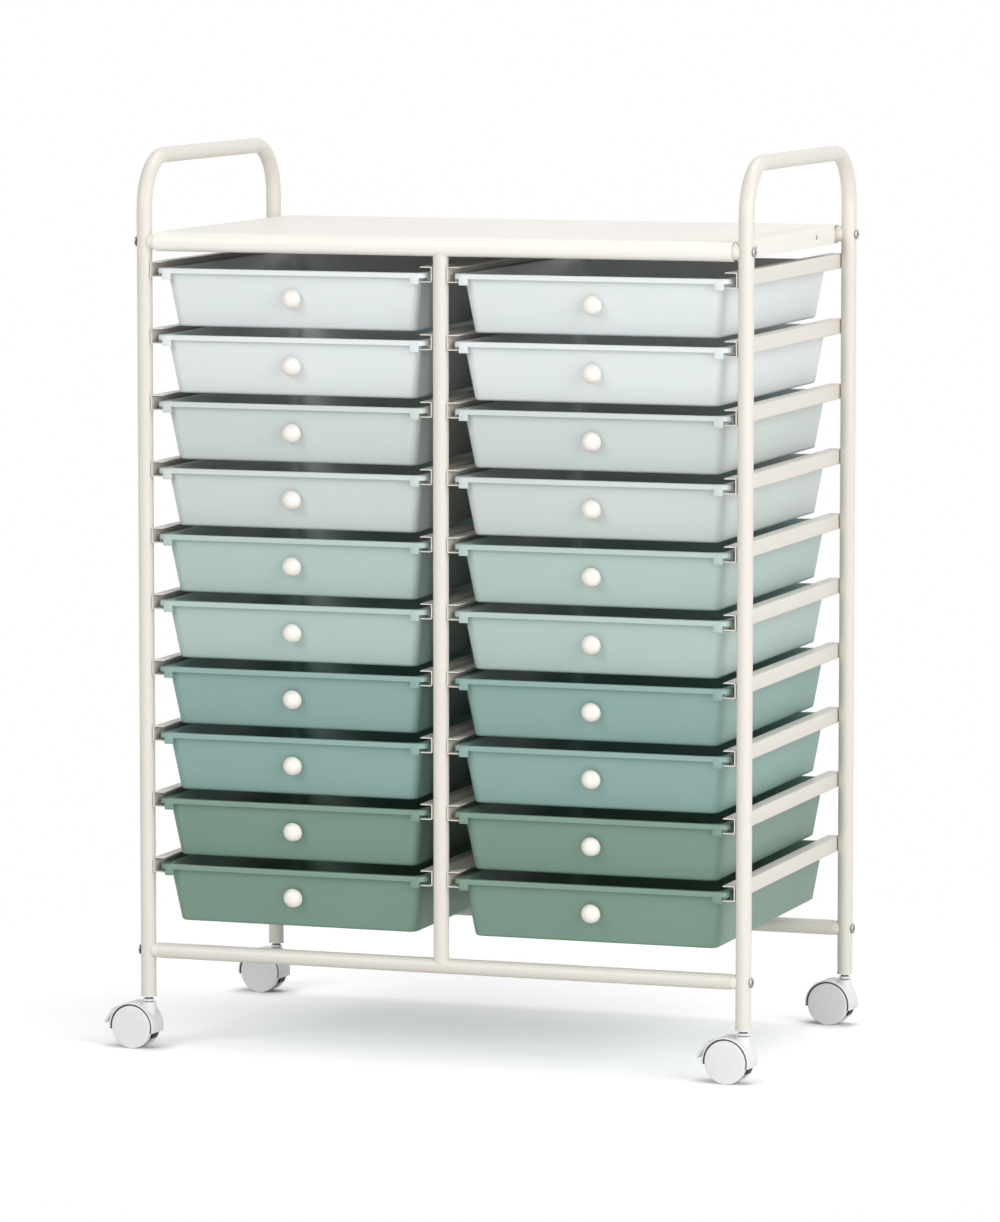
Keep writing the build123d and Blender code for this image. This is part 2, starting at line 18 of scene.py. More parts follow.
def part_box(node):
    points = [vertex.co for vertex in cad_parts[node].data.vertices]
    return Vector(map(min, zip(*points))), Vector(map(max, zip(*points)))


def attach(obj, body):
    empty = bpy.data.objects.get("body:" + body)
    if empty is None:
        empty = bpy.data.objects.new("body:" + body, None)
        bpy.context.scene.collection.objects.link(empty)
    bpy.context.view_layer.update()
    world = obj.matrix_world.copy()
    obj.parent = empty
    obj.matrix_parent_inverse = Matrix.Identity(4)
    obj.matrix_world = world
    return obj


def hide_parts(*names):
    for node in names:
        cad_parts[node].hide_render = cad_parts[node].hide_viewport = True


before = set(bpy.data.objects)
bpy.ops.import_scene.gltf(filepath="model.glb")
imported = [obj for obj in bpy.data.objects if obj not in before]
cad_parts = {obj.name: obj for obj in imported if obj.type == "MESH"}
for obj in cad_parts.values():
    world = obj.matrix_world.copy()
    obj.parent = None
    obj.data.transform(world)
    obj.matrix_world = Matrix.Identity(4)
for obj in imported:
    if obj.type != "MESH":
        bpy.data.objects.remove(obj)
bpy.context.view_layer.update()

MM = 0.001
SMOOTH_ANGLE = math.radians(34)
MERGE_GAP = 0.0005  # mm within which two corners are one corner
NEAR = 0.1  # mm within which two places are the same
LONG = 1.0  # mm from which an edge runs along its piece and not across it
FACING = 0.5  # share of a normal from which its face looks that way
ROUND_END = 80  # degrees at which a rounded edge passes into a nearly flat face
CREASE = 60  # degrees between two faces from which their edge is a sharp one
CLOUD_DETAIL = 3.0
GRAIN_ROUGHNESS = 0.55
NOISE_RANGE = (0.3, 0.7)  # where most of a noise pattern's values lie
WHITE = "#FFFFFF"
LOG = logging.getLogger("cart")

Triple = tuple[float, float, float]
Pair = tuple[float, float]
Piece = bpy.types.Object
Material = bpy.types.Material
Tree = bpy.types.NodeTree
Socket = bpy.types.NodeSocket


# Workshop


def metres(size: Triple) -> Vector:
    """Millimetres as a vector in metres."""
    return Vector(size) * MM


def at(x: float, y: float, z: float) -> Matrix:
    """Matrix that moves a piece by so many millimetres."""
    return Matrix.Translation(metres((x, y, z)))


def about(axis: str, angle: float) -> Matrix:
    """Matrix that turns a piece about an axis by an angle in radians."""
    return Matrix.Rotation(angle, 4, axis)


def same(first: float, second: float) -> bool:
    """Whether two places along an axis, in millimetres, are the same."""
    return abs(first - second) < NEAR


def deselect_all() -> None:
    """Leaves nothing selected, so that the next operator acts on one piece alone."""
    bpy.ops.object.select_all(action="DESELECT")


def make_active(piece: Piece) -> None:
    """Selects one piece and nothing else."""
    deselect_all()
    piece.select_set(True)
    bpy.context.view_layer.objects.active = piece


def take_primitive(name: str) -> Piece:
    """Names the primitive just added, moves its place into its mesh and returns it."""
    piece = bpy.context.active_object
    piece.name = piece.data.name = name
    bpy.ops.object.transform_apply(location=True, rotation=True, scale=True)
    return piece


def set_mode(mode: str) -> None:
    """Changes between edit mode and object mode."""
    bpy.ops.object.mode_set(mode=mode)


def bare_mesh(piece: Piece) -> bmesh.types.BMesh:
    """The mesh of a piece in edit mode, with nothing selected."""
    mesh = bmesh.from_edit_mesh(piece.data)
    for item in (*mesh.verts, *mesh.edges, *mesh.faces):
        item.select_set(False)
    return mesh


def select_edges(piece: Piece, test: Callable[[Vector, Vector], bool]) -> None:
    """Selects in edit mode the edges whose two ends, in millimetres, pass a test.

    Args:
        piece: piece in edit mode.
        test: takes the places of an edge's two ends.
    """
    mesh = bare_mesh(piece)
    for edge in mesh.edges:
        if test(edge.verts[0].co / MM, edge.verts[1].co / MM):
            edge.select_set(True)
    bmesh.update_edit_mesh(piece.data)


def modify(piece: Piece, kind: str, **settings: object) -> None:
    """Adds a modifier with its settings and applies it.

    Args:
        piece: piece that gets it.
        kind: Blender's name of the modifier type.
        settings: attributes of the modifier.
    """
    make_active(piece)
    modifier = piece.modifiers.new(kind.title(), kind)
    for key, value in settings.items():
        setattr(modifier, key, value)
    bpy.ops.object.modifier_apply(modifier=modifier.name)


def smooth(piece: Piece) -> Piece:
    """Shades a piece smooth, with its sharp edges kept, and gives it back."""
    make_active(piece)
    bpy.ops.object.shade_smooth_by_angle(angle=SMOOTH_ANGLE)
    return piece


def soften(piece: Piece, width: float, segments: int = 1, angle: float = CREASE) -> Piece:
    """Rounds the edges that are sharper than an angle, and shades the piece smooth.

    Args:
        piece: piece to finish.
        width: millimetres from the old edge to the new face's border.
        segments: faces across the rounding.
        angle: degrees between two faces from which their edge counts as sharp.

    Returns:
        The same piece.
    """
    sharp = math.radians(angle)
    rounding = {"width": width * MM, "segments": segments, "harden_normals": False}
    modify(piece, "BEVEL", limit_method="ANGLE", angle_limit=sharp, **rounding)
    return smooth(piece)


def thicken(piece: Piece, sheet: float) -> None:
    """Gives folded faces the thickness of their sheet in millimetres, inwards."""
    modify(piece, "SOLIDIFY", thickness=sheet * MM, offset=-1, use_even_offset=True)


def close_up() -> None:
    """Merges doubled corners, turns every face outwards and ends the editing of a piece."""
    bpy.ops.mesh.select_all(action="SELECT")
    bpy.ops.mesh.remove_doubles(threshold=MERGE_GAP * MM)
    bpy.ops.mesh.normals_make_consistent(inside=False)
    set_mode("OBJECT")


def level_plane(name: str, half_x: float, half_y: float, z: float) -> Piece:
    """Level rectangle about the Z axis, left in edit mode.

    Args:
        name: name of the piece.
        half_x: half of its width in millimetres.
        half_y: half of its depth.
        z: its height.

    Returns:
        The rectangle, one face.
    """
    deselect_all()
    bpy.ops.mesh.primitive_plane_add(size=2, location=metres((0, 0, z)))
    bpy.context.active_object.scale = metres((half_x, half_y, 1))
    piece = take_primitive(name)
    set_mode("EDIT")
    return piece


def drawn(name: str, outline: list[Pair], y: float) -> Piece:
    """Chain of edges through an outline's points, in a plane across Y.

    Args:
        name: name of the piece.
        outline: X and Z of each point, in millimetres.
        y: where the plane is, in millimetres.

    Returns:
        The piece, in edit mode and selected all over.
    """
    deselect_all()
    first_x, first_z = outline[0]
    bpy.ops.mesh.primitive_plane_add(size=MM, location=metres((first_x, y, first_z)))
    piece = take_primitive(name)
    set_mode("EDIT")
    bpy.ops.mesh.merge(type="CENTER")
    for (x_from, z_from), (x_to, z_to) in zip(outline, outline[1:]):
        step = metres((x_to - x_from, 0, z_to - z_from))
        bpy.ops.mesh.extrude_vertices_move(TRANSFORM_OT_translate={"value": step})
    bpy.ops.mesh.select_all(action="SELECT")
    return piece


def turned(name: str, profile: list[Pair], sides: int) -> Piece:
    """Spins a drawn profile about the Z axis.

    Args:
        name: name of the piece.
        profile: radius and height of each point, in millimetres.
        sides: steps round the axis.

    Returns:
        The spun piece, still sharp-edged.
    """
    piece = drawn(name, profile, 0)
    bpy.ops.mesh.spin(steps=sides, angle=math.tau, center=(0, 0, 0), axis=(0, 0, 1))
    close_up()
    return piece


def plate(name: str, outline: list[Pair], half_w: float) -> Piece:
    """Plate of even width behind a closed outline in the X-Z plane.

    Args:
        name: name of the piece.
        outline: X and Z of each point, in millimetres.
        half_w: half of the plate's width, along Y.

    Returns:
        The plate, still sharp-edged.
    """
    piece = drawn(name, outline, -half_w)
    bpy.ops.mesh.edge_face_add()
    bpy.ops.mesh.extrude_region_move(TRANSFORM_OT_translate={"value": metres((0, 2 * half_w, 0))})
    close_up()
    return piece


def arc_profile(centre: Pair, radius: float, start: float, end: float, steps: int) -> list[Pair]:
    """Points of an arc, for a profile.

    Args:
        centre: radius and height of the arc's centre, in millimetres.
        radius: of the arc.
        start: angle in degrees from the outward direction.
        end: angle where the arc stops.
        steps: runs that the arc is divided into.

    Returns:
        The points, both ends among them.
    """
    angles = [math.radians(start + (end - start) * step / steps) for step in range(steps + 1)]
    return [(centre[0] + radius * math.cos(a), centre[1] + radius * math.sin(a)) for a in angles]


@dataclass(frozen=True)
class Ring:
    """A level outline with rounded corners, in millimetres."""

    half_x: float
    half_y: float
    corner_r: float
    z: float


def reshape_ring(piece: Piece, old: Ring, new: Ring) -> None:
    """Brings the selected outline from one ring's shape to another's, corner by corner.

    Args:
        piece: piece in edit mode, with the outline selected.
        old: ring that the outline has now, apart from its height.
        new: ring that it gets.
    """
    mesh = bmesh.from_edit_mesh(piece.data)
    outline = [corner.index for corner in mesh.verts if corner.select]
    for sign_x in (-1, 1):
        for sign_y in (-1, 1):
            mesh = bmesh.from_edit_mesh(piece.data)
            mesh.verts.ensure_lookup_table()
            for corner in mesh.verts:
                corner.select_set(False)
            for index in outline:
                corner = mesh.verts[index]
                corner.select_set(corner.co.x * sign_x > 0 and corner.co.y * sign_y > 0)
            mesh.select_flush(False)
            centre = (sign_x * (old.half_x - old.corner_r), sign_y * (old.half_y - old.corner_r), new.z)
            moved_x = sign_x * (new.half_x - new.corner_r - old.half_x + old.corner_r)
            moved_y = sign_y * (new.half_y - new.corner_r - old.half_y + old.corner_r)
            scale = new.corner_r / old.corner_r
            bpy.ops.transform.resize(value=(scale, scale, 1), center_override=metres(centre))
            bpy.ops.transform.translate(value=metres((moved_x, moved_y, 0)))
    mesh = bmesh.from_edit_mesh(piece.data)
    mesh.verts.ensure_lookup_table()
    for index in outline:
        mesh.verts[index].select_set(True)
    mesh.select_flush(True)


def ringed(name: str, rings: list[Ring], corner_steps: int) -> Piece:
    """Closed piece that passes through level outlines, one after the other.

    Args:
        name: name of the piece.
        rings: outlines, from one closed end to the other.
        corner_steps: faces round each corner.

    Returns:
        The piece, still sharp-edged.
    """
    first = rings[0]
    piece = level_plane(name, first.half_x, first.half_y, first.z)
    corner = {"offset": first.corner_r * MM, "offset_type": "OFFSET", "segments": corner_steps}
    bpy.ops.mesh.bevel(affect="VERTICES", **corner)
    bpy.ops.mesh.select_all(action="SELECT")
    for old, new in zip(rings, rings[1:]):
        rise = metres((0, 0, new.z - old.z))
        bpy.ops.mesh.extrude_region_move(TRANSFORM_OT_translate={"value": rise})
        reshape_ring(piece, old, new)
    close_up()
    return piece


def block(name: str, low: Triple, high: Triple) -> Piece:
    """Block between two corners, the start of a bevelled or extruded piece.

    Args:
        name: name of the piece.
        low: lowest corner in millimetres.
        high: highest corner in millimetres.

    Returns:
        The block.
    """
    deselect_all()
    middle = (metres(low) + metres(high)) / 2
    bpy.ops.mesh.primitive_cube_add(size=1, location=middle)
    bpy.context.active_object.scale = metres(high) - metres(low)
    return take_primitive(name)


def join(pieces: list[Piece]) -> Piece:
    """Joins pieces into the first of them."""
    make_active(pieces[0])
    for piece in pieces[1:]:
        piece.select_set(True)
    bpy.ops.object.join()
    return pieces[0]


def placed_copy(master: Piece, name: str, place: Matrix) -> Piece:
    """Copy of a modelled piece with its own mesh, and its place in that mesh.

    Args:
        master: the piece modelled once.
        name: name of the copy.
        place: where the copy stands, in metres.

    Returns:
        The copy.
    """
    piece = master.copy()
    piece.data = master.data.copy()
    piece.name = piece.data.name = name
    piece.data.transform(place)
    bpy.context.scene.collection.objects.link(piece)
    return piece


def select_faces(piece: Piece, test: Callable[[Vector, Vector], bool]) -> None:
    """Selects in edit mode the faces whose middle, in millimetres, and normal pass a test.

    Args:
        piece: piece in edit mode.
        test: takes a face's middle and its normal.
    """
    mesh = bare_mesh(piece)
    for face in mesh.faces:
        if test(face.calc_center_median() / MM, face.normal):
            face.select_set(True)
    bmesh.update_edit_mesh(piece.data)


def cut(piece: Piece, tool: Piece) -> None:
    """Cuts one closed piece, the tool, out of another and removes it."""
    modify(piece, "BOOLEAN", object=tool, operation="DIFFERENCE", solver="EXACT")
    discard(tool)


def rod(name: str, radius: float, low: Triple, high: Triple, sides: int) -> Piece:
    """Straight rod between two points, the start of a bevelled piece or a cutter.

    Args:
        name: name of the piece.
        radius: in millimetres.
        low: middle of one end in millimetres.
        high: middle of the other end.
        sides: faces round the rod.

    Returns:
        The rod.
    """
    deselect_all()
    run = metres(high) - metres(low)
    place = {"location": (metres(low) + metres(high)) / 2}
    place["rotation"] = run.to_track_quat("Z", "Y").to_euler()
    bpy.ops.mesh.primitive_cylinder_add(vertices=sides, radius=radius * MM, depth=run.length, **place)
    return take_primitive(name)


def discard(*masters: Piece) -> None:
    """Removes the pieces that were only copied."""
    for master in masters:
        bpy.data.objects.remove(master)


def coat(piece: Piece, material: Material) -> None:
    """Gives a piece one material all over."""
    if not piece.material_slots:
        piece.data.materials.append(material)
    for slot in piece.material_slots:
        slot.material = material


def hand_over(piece: Piece, material: Material, body: str, slot: str, *nodes: str) -> None:
    """Finishes a piece and gives it to the frame.

    Args:
        piece: the modelled piece.
        material: its finish.
        body: body that it rides on.
        slot: material slot of the record; not used.
        nodes: CAD nodes that it stands for.
    """
    coat(piece, material)
    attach(piece, body)
    if nodes:
        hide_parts(*nodes)
    LOG.info("%s", piece.name)


# Finishes


def linear(code: str) -> tuple[float, float, float, float]:
    """Turns an sRGB hex colour into Blender's linear colour.

    Args:
        code: six hex digits after a number sign.

    Returns:
        Red, green, blue and one for alpha.
    """
    parts = [int(code[i : i + 2], 16) / 255 for i in (1, 3, 5)]
    made = [p / 12.92 if p <= 0.04045 else ((p + 0.055) / 1.055) ** 2.4 for p in parts]
    return (*made, 1.0)


def per_metre(size: float) -> float:
    """Texture scale at which a pattern repeats about every so many millimetres."""
    return 1 / (size * MM)


def add_node(tree: Tree, kind: str, sockets: dict | None = None, **settings: object) -> bpy.types.Node:
    """Adds a shader node with its settings and links.

    Args:
        tree: node tree that gets the node.
        kind: type of the node, without Blender's prefix.
        sockets: for an input's name or number, its value or the output linked to it.
        settings: attributes of the node.

    Returns:
        The node.
    """
    node = tree.nodes.new("ShaderNode" + kind)
    for key, value in settings.items():
        setattr(node, key, value)
    for key, value in (sockets or {}).items():
        if isinstance(value, Socket):
            tree.links.new(value, node.inputs[key])
        else:
            node.inputs[key].default_value = value
    return node


def empty_tree(owner: Material | bpy.types.World) -> Tree:
    """The node tree of a material or world, with its first nodes removed."""
    owner.use_nodes = True
    owner.node_tree.nodes.clear()
    return owner.node_tree


def noise(tree: Tree, place: Socket, size: float, detail: float = 2, roughness: float = 0.5) -> Socket:
    """Cloudy pattern from zero to one, whose clouds are about so many millimetres apart."""
    sockets = {"Vector": place, "Scale": per_metre(size), "Detail": detail, "Roughness": roughness}
    return add_node(tree, "TexNoise", sockets).outputs["Fac"]


def spread(tree: Tree, value: Socket, seen: Pair, given: Pair, curve: str) -> Socket:
    """Spreads a value's seen range over a given range, by a curve that Blender names."""
    ends = zip(("From Min", "From Max", "To Min", "To Max"), (*seen, *given))
    sockets = {"Value": value, **dict(ends)}
    return add_node(tree, "MapRange", sockets, interpolation_type=curve).outputs[0]


def tinted(tree: Tree, share: Socket, codes: tuple[str, str]) -> Socket:
    """Mixes two hex colours by a pattern, whose zeros give the first of them."""
    sockets = {0: share, 6: linear(codes[0]), 7: linear(codes[1])}
    return add_node(tree, "Mix", sockets, data_type="RGBA").outputs[2]


def reckoned(tree: Tree, operation: str, first: Socket, second: Socket | float) -> Socket:
    """Combines two values by an operation of Blender's math node."""
    return add_node(tree, "Math", {0: first, 1: second}, operation=operation).outputs[0]


@dataclass(frozen=True)
class Finish:
    """A surface: its colour, its gloss, its cloudiness and its fine relief."""

    name: str
    colour: str
    shade: str  # the colour's darker clouds
    cloud: float  # size of the clouds in mm
    grain: float  # size of the relief's grain in mm
    relief: float  # height of the relief in mm
    roughness: float
    rough_spread: float = 0.05
    ior: float = 1.5
    metallic: float = 0.0
    stretch: Triple = (1, 1, 1)  # of the grain, along a drawn metal's axis

    def material(self) -> Material:
        """Makes the material.

        Returns:
            A material whose patterns are read at the object's own coordinates.
        """
        made = bpy.data.materials.new(self.name)
        tree = empty_tree(made)
        place = add_node(tree, "TexCoord").outputs["Object"]
        along = add_node(tree, "Mapping", {"Vector": place, "Scale": self.stretch}).outputs[0]
        clouds = noise(tree, place, self.cloud, CLOUD_DETAIL)
        tint = tinted(tree, clouds, (self.shade, self.colour))
        grain = noise(tree, along, self.grain, roughness=GRAIN_ROUGHNESS)
        given = (self.roughness - self.rough_spread, self.roughness + self.rough_spread)
        rough = spread(tree, grain, NOISE_RANGE, given, "LINEAR")
        relief = {"Height": grain, "Strength": 1.0, "Distance": self.relief * MM}
        bump = add_node(tree, "Bump", relief).outputs[0]
        surface = {"Base Color": tint, "Roughness": rough, "Normal": bump}
        surface |= {"Metallic": self.metallic, "IOR": self.ior}
        shader = add_node(tree, "BsdfPrincipled", surface).outputs[0]
        add_node(tree, "OutputMaterial", {"Surface": shader})
        return made


# Polyester powder coat, sprayed and baked on steel: a soft satin gloss over a fine orange peel.
POWDER_COAT = Finish(
    name="ivory_powder_coated_steel", colour="#DFDAD1", shade="#DBD6CC",
    cloud=140, grain=1.4, relief=0.012, roughness=0.36,
)
# The same coat baked on a flat sheet, where the peel is wider and lower.
POWDER_COAT_SHEET = Finish(
    name="ivory_powder_coated_sheet", colour="#F1EDE7", shade="#EEEAE2",
    cloud=180, grain=2.2, relief=0.01, roughness=0.42,
)
# Moulded ABS: a dense warm ivory with a low even sheen.
KNOB_ABS = Finish(
    name="ivory_moulded_abs", colour="#F4EEE6", shade="#F0E9E0",
    cloud=9, grain=0.5, relief=0.004, roughness=0.34, ior=1.53,
)
# Moulded nylon of the bar end saddles, matched to the coat beside it: the same satin ivory.
SADDLE_NYLON = Finish(
    name="ivory_moulded_nylon", colour="#E9E4DB", shade="#E4DFD5",
    cloud=12, grain=0.6, relief=0.005, roughness=0.4, ior=1.53,
)
# Glass-filled nylon out of a polished mould: cool white, faintly streaked.
HOOD_NYLON = Finish(
    name="white_moulded_nylon", colour="#E8E8E8", shade="#E1E2E3",
    cloud=16, grain=0.7, relief=0.006, roughness=0.3, ior=1.53,
)
# Painted shade: near-black glass-filled nylon for a lining inside the housing and a web between the
# wheels, put where only shade falls; it draws the shadow line round each wheel and the shadow between
# the wheels.
SHADE_CORE_NYLON = Finish(
    name="near_black_painted_shade_nylon", colour="#1B1C1D", shade="#161718",
    cloud=9, grain=0.7, relief=0.006, roughness=0.5, ior=1.53,
)
# Moulded polypropylene tread and disc: light grey, slightly scuffed.
WHEEL_POLYPROPYLENE = Finish(
    name="light_grey_moulded_polypropylene", colour="#E9E9E9", shade="#E0E0E1",
    cloud=7, grain=0.6, relief=0.008, roughness=0.38, rough_spread=0.08, ior=1.49,
)
# Zinc-plated steel: a soft mid grey metal with fine drawn streaks.
ZINC_STEEL = Finish(
    name="zinc_plated_steel", colour="#B4B4B2", shade="#A3A4A4",
    cloud=3, grain=0.6, relief=0.004, roughness=0.3, rough_spread=0.1,
    metallic=1.0, stretch=(1, 1, 0.2),
)
# Bare drawn steel of the caster stems: a dull dark grey metal, partly the bare steel's own grey and
# partly painted shade for the leg's shadow over it.
SHADED_STEM_STEEL = Finish(
    name="bare_drawn_steel_with_painted_shade", colour="#7C7C7A", shade="#6E6E6D",
    cloud=4, grain=0.5, relief=0.003, roughness=0.38, rough_spread=0.08,
    metallic=1.0, stretch=(1, 1, 0.2),
)


class TubColour(Enum):
    """Polypropylene colours of the tubs, from the top pair of levels to the bottom pair.

    Each value is the record's material slot, the colour and its darker clouds.
    """

    PALE_BLUE = ("tub_pale_blue", "#DEE4E4", "#D9E0E0")
    PALE_GREEN = ("tub_pale_green", "#C9D2CF", "#C4CECA")
    LIGHT_TEAL = ("tub_light_teal", "#B0C3BF", "#ABBFBA")
    TEAL = ("tub_teal", "#88A7A1", "#83A39C")
    SAGE = ("tub_sage", "#769383", "#728F7F")

    def finish(self) -> Finish:
        """Moulded polypropylene: waxy, even colour and a fine spark-eroded grain."""
        slot, colour, shade = self.value
        name = f"moulded_polypropylene_{slot.removeprefix('tub_')}"
        return Finish(name, colour, shade, cloud=70, grain=0.8, relief=0.006, roughness=0.4, ior=1.49)


# Drawers


@dataclass(frozen=True)
class Levels:
    """Where the drawers stand, in millimetres."""

    pitch: float
    rim_top_z: float
    bay_x: float

    @classmethod
    def from_frame(cls, count: int = 10) -> "Levels":
        """Reads the levels from the CAD drawers.

        Args:
            count: number of levels.

        Returns:
            The levels.
        """
        low, top = (Vector(corner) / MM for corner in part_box("drawer_right_01"))
        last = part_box(f"drawer_right_{count:02d}")[1][2] / MM
        return cls((top.z - last) / (count - 1), top.z, (low.x + top.x) / 2)

    def place(self, side: int, level: int) -> Matrix:
        """Place of a drawer's rim top: side is -1 or 1, and level 0 is the top one."""
        return at(side * self.bay_x, 0, self.rim_top_z - level * self.pitch)


@dataclass(frozen=True)
class Tub:
    """Tapered tub with a turned-down rim, runner edges and corner lugs. The rim's top is at zero."""

    height: float = 56.7
    half_x: float = 130.3
    half_y: float = 177.0
    side_taper: float = 7.8
    end_taper: float = 12.0
    corner_r: float = 12.0
    corner_loss: float = 3.0
    foot_r: float = 3.0
    wall: float = 1.8
    rim_half_x: float = 138.2
    rim_half_y: float = 181.0
    rim_corner_r: float = 11.0
    rim_sheet: float = 1.8
    under_gap: float = 0.1  # between the sheet's underside and its first outline
    band_h: float = 5.0
    band_edges: Pair = (0.3, 0.4)  # chamfers of the turned-down band, inside and outside
    band_top: float = 2.2  # below the rim's top, where the rolled edge begins
    band_lean: Pair = (0.15, 0.35)  # how far the band leans in there, at sides and ends
    roll_in: Pair = (0.2, 0.4)  # how far the rolled edge's first outline does
    roll_r: float = 1.5
    roll_steps: int = 4
    fillet: float = 0.9  # where the wall meets the rim
    lip_r: float = 0.8
    lip_off: float = 0.25  # how far the lip's middle stands off the two faces beside it
    foot_ease: float = 0.6  # how much rounder the foot is inside than a parallel one
    foot_steps: tuple[int, int] = (4, 3)  # outside and inside
    runner_h: float = 7.5
    runner_hold: float = 1.0  # by which a runner reaches up into the band
    lug_outer_x: float = 131.0
    lug_w: float = 8.9
    lug_drop: float = 10.8
    lug_depth: float = 3.0
    small_edge_r: float = 0.4  # of the runners and lugs
    small_edge_steps: int = 2
    corner_steps: int = 8

    def wall_ring(self, z: float, inset: float, lift: float = 0.0) -> Ring:
        """Outline of the tapered wall at z, drawn in by an inset and put a lift higher."""
        share = -z / self.height
        return Ring(
            self.half_x - self.side_taper * share - inset,
            self.half_y - self.end_taper * share - inset,
            self.corner_r - self.corner_loss * share - inset,
            z + lift,
        )

    def foot_rings(self, z: float, inset: float, radius: float, steps: int) -> list[Ring]:
        """Quarter round from the floor to the wall.

        Args:
            z: height of the floor's face.
            inset: of the wall's face from the outer face.
            radius: of the round.
            steps: faces across it.

        Returns:
            Outlines from the floor up.
        """
        rings = []
        for step in range(steps + 1):
            angle = math.pi / 2 * step / steps
            drawn_in = inset + radius * (1 - math.sin(angle))
            rings.append(self.wall_ring(z, drawn_in, radius * (1 - math.cos(angle))))
        return rings

    def rim_rings(self) -> list[Ring]:
        """Outlines from under the rim, round its band and over to the inner wall."""
        x, y, r = self.rim_half_x, self.rim_half_y, self.rim_corner_r
        sheet, band = self.rim_sheet, self.band_h
        inner, outer = self.band_edges
        rings = [
            Ring(x - sheet, y - sheet, r - sheet, -sheet - self.under_gap),
            Ring(x - sheet, y - sheet, r - sheet, inner - band),
            Ring(x - sheet + inner, y - sheet + inner, r - sheet + inner, -band),
            Ring(x - outer, y - outer, r - outer, -band),
            Ring(x, y, r, outer - band),
            Ring(x - self.band_lean[0], y - self.band_lean[1], r, -self.band_top),
        ]
        x, y = x - self.roll_in[0], y - self.roll_in[1]
        for step in range(self.roll_steps + 1):
            angle = math.pi / 2 * step / self.roll_steps
            drawn_in = self.roll_r * (1 - math.cos(angle))
            z = self.roll_r * (math.sin(angle) - 1)
            rings.append(Ring(x - drawn_in, y - drawn_in, r - drawn_in / 2, z))
        return rings

    def build(self) -> Piece:
        """Models the tub once.

        Returns:
            The tub with its rim's middle at the origin.
        """
        wall, sheet = self.wall, self.rim_sheet
        outside = self.foot_rings(-self.height, 0, self.foot_r, self.foot_steps[0])
        outside.append(self.wall_ring(-sheet - self.fillet, 0))
        outside.append(self.wall_ring(-sheet, -self.fillet))
        lip = [
            self.wall_ring(-down, wall - out)
            for down, out in ((0, self.lip_r), (self.lip_off, self.lip_off), (self.lip_r, 0))
        ]
        foot_r = self.foot_r - wall + self.foot_ease
        inside = self.foot_rings(wall - self.height, wall, foot_r, self.foot_steps[1])[::-1]
        rings = outside + self.rim_rings() + lip + inside
        pieces = [smooth(ringed("tub", rings, self.corner_steps))]
        for side in (-1, 1):
            for piece in (self.build_runner(side), self.build_lug(side)):
                pieces.append(soften(piece, self.small_edge_r, self.small_edge_steps))
        return join(pieces)

    def build_runner(self, side: int) -> Piece:
        """Runner edge under the rim on one side, -1 or 1."""
        low_x, high_x = sorted((side * self.rim_half_x, side * (self.rim_half_x - self.rim_sheet)))
        run_y, high_z = self.rim_half_y - self.rim_corner_r, self.runner_hold - self.band_h
        return block("runner", (low_x, -run_y, -self.runner_h), (high_x, run_y, high_z))

    def build_lug(self, side: int) -> Piece:
        """Lug under the rim's front corner on one side, -1 or 1."""
        low_x, high_x = sorted((side * self.lug_outer_x, side * (self.lug_outer_x - self.lug_w)))
        front, back = -self.rim_half_y, self.lug_depth - self.rim_half_y
        return block("lug", (low_x, front, -self.lug_drop), (high_x, back, -self.rim_sheet))


@dataclass(frozen=True)
class Knob:
    """Domed knob on a short neck."""

    drop: float = 26.6
    radius: float = 9.4
    height: float = 13.0
    neck_r: float = 5.5
    neck_h: float = 3.0
    neck_fillet: float = 0.6
    seat_gap: float = 0.05  # between the neck and the tub
    edge_r: float = 1.5
    steps: tuple[int, int, int] = (3, 5, 12)  # across the fillet, the edge and the dome
    sides: int = 48

    def profile(self) -> list[Pair]:
        """Outline of the knob, from the neck's middle to the dome's top."""
        rise = self.height - self.neck_h - self.edge_r
        dome_r = (self.radius**2 + rise**2) / (2 * rise)
        middle = self.height - dome_r
        start = math.degrees(math.atan2(self.neck_h + self.edge_r - middle, self.radius))
        fillet, neck_z = self.neck_fillet, self.neck_h - self.neck_fillet
        edge_at = (self.radius - self.edge_r, self.neck_h + self.edge_r)
        foot = [(0, self.seat_gap), (self.neck_r, self.seat_gap), (self.neck_r, neck_z)]
        neck = arc_profile((self.neck_r + fillet, neck_z), fillet, 180, 90, self.steps[0])
        edge = arc_profile(edge_at, self.edge_r, -90, start, self.steps[1])
        dome = arc_profile((0, middle), dome_r, start, 90, self.steps[2])
        return foot + neck + edge + dome[1:]

    def seat(self, tub: Tub) -> Matrix:
        """Place of the knob on a tub's front wall, leaning with it."""
        wall_y = tub.half_y - tub.end_taper * self.drop / tub.height
        lean = math.atan2(tub.end_taper, tub.height)
        return at(0, -wall_y, -self.drop) @ about("X", math.pi / 2 + lean)

    def build(self) -> Piece:
        """Models the knob once, standing on the origin."""
        return smooth(turned("knob", self.profile(), self.sides))


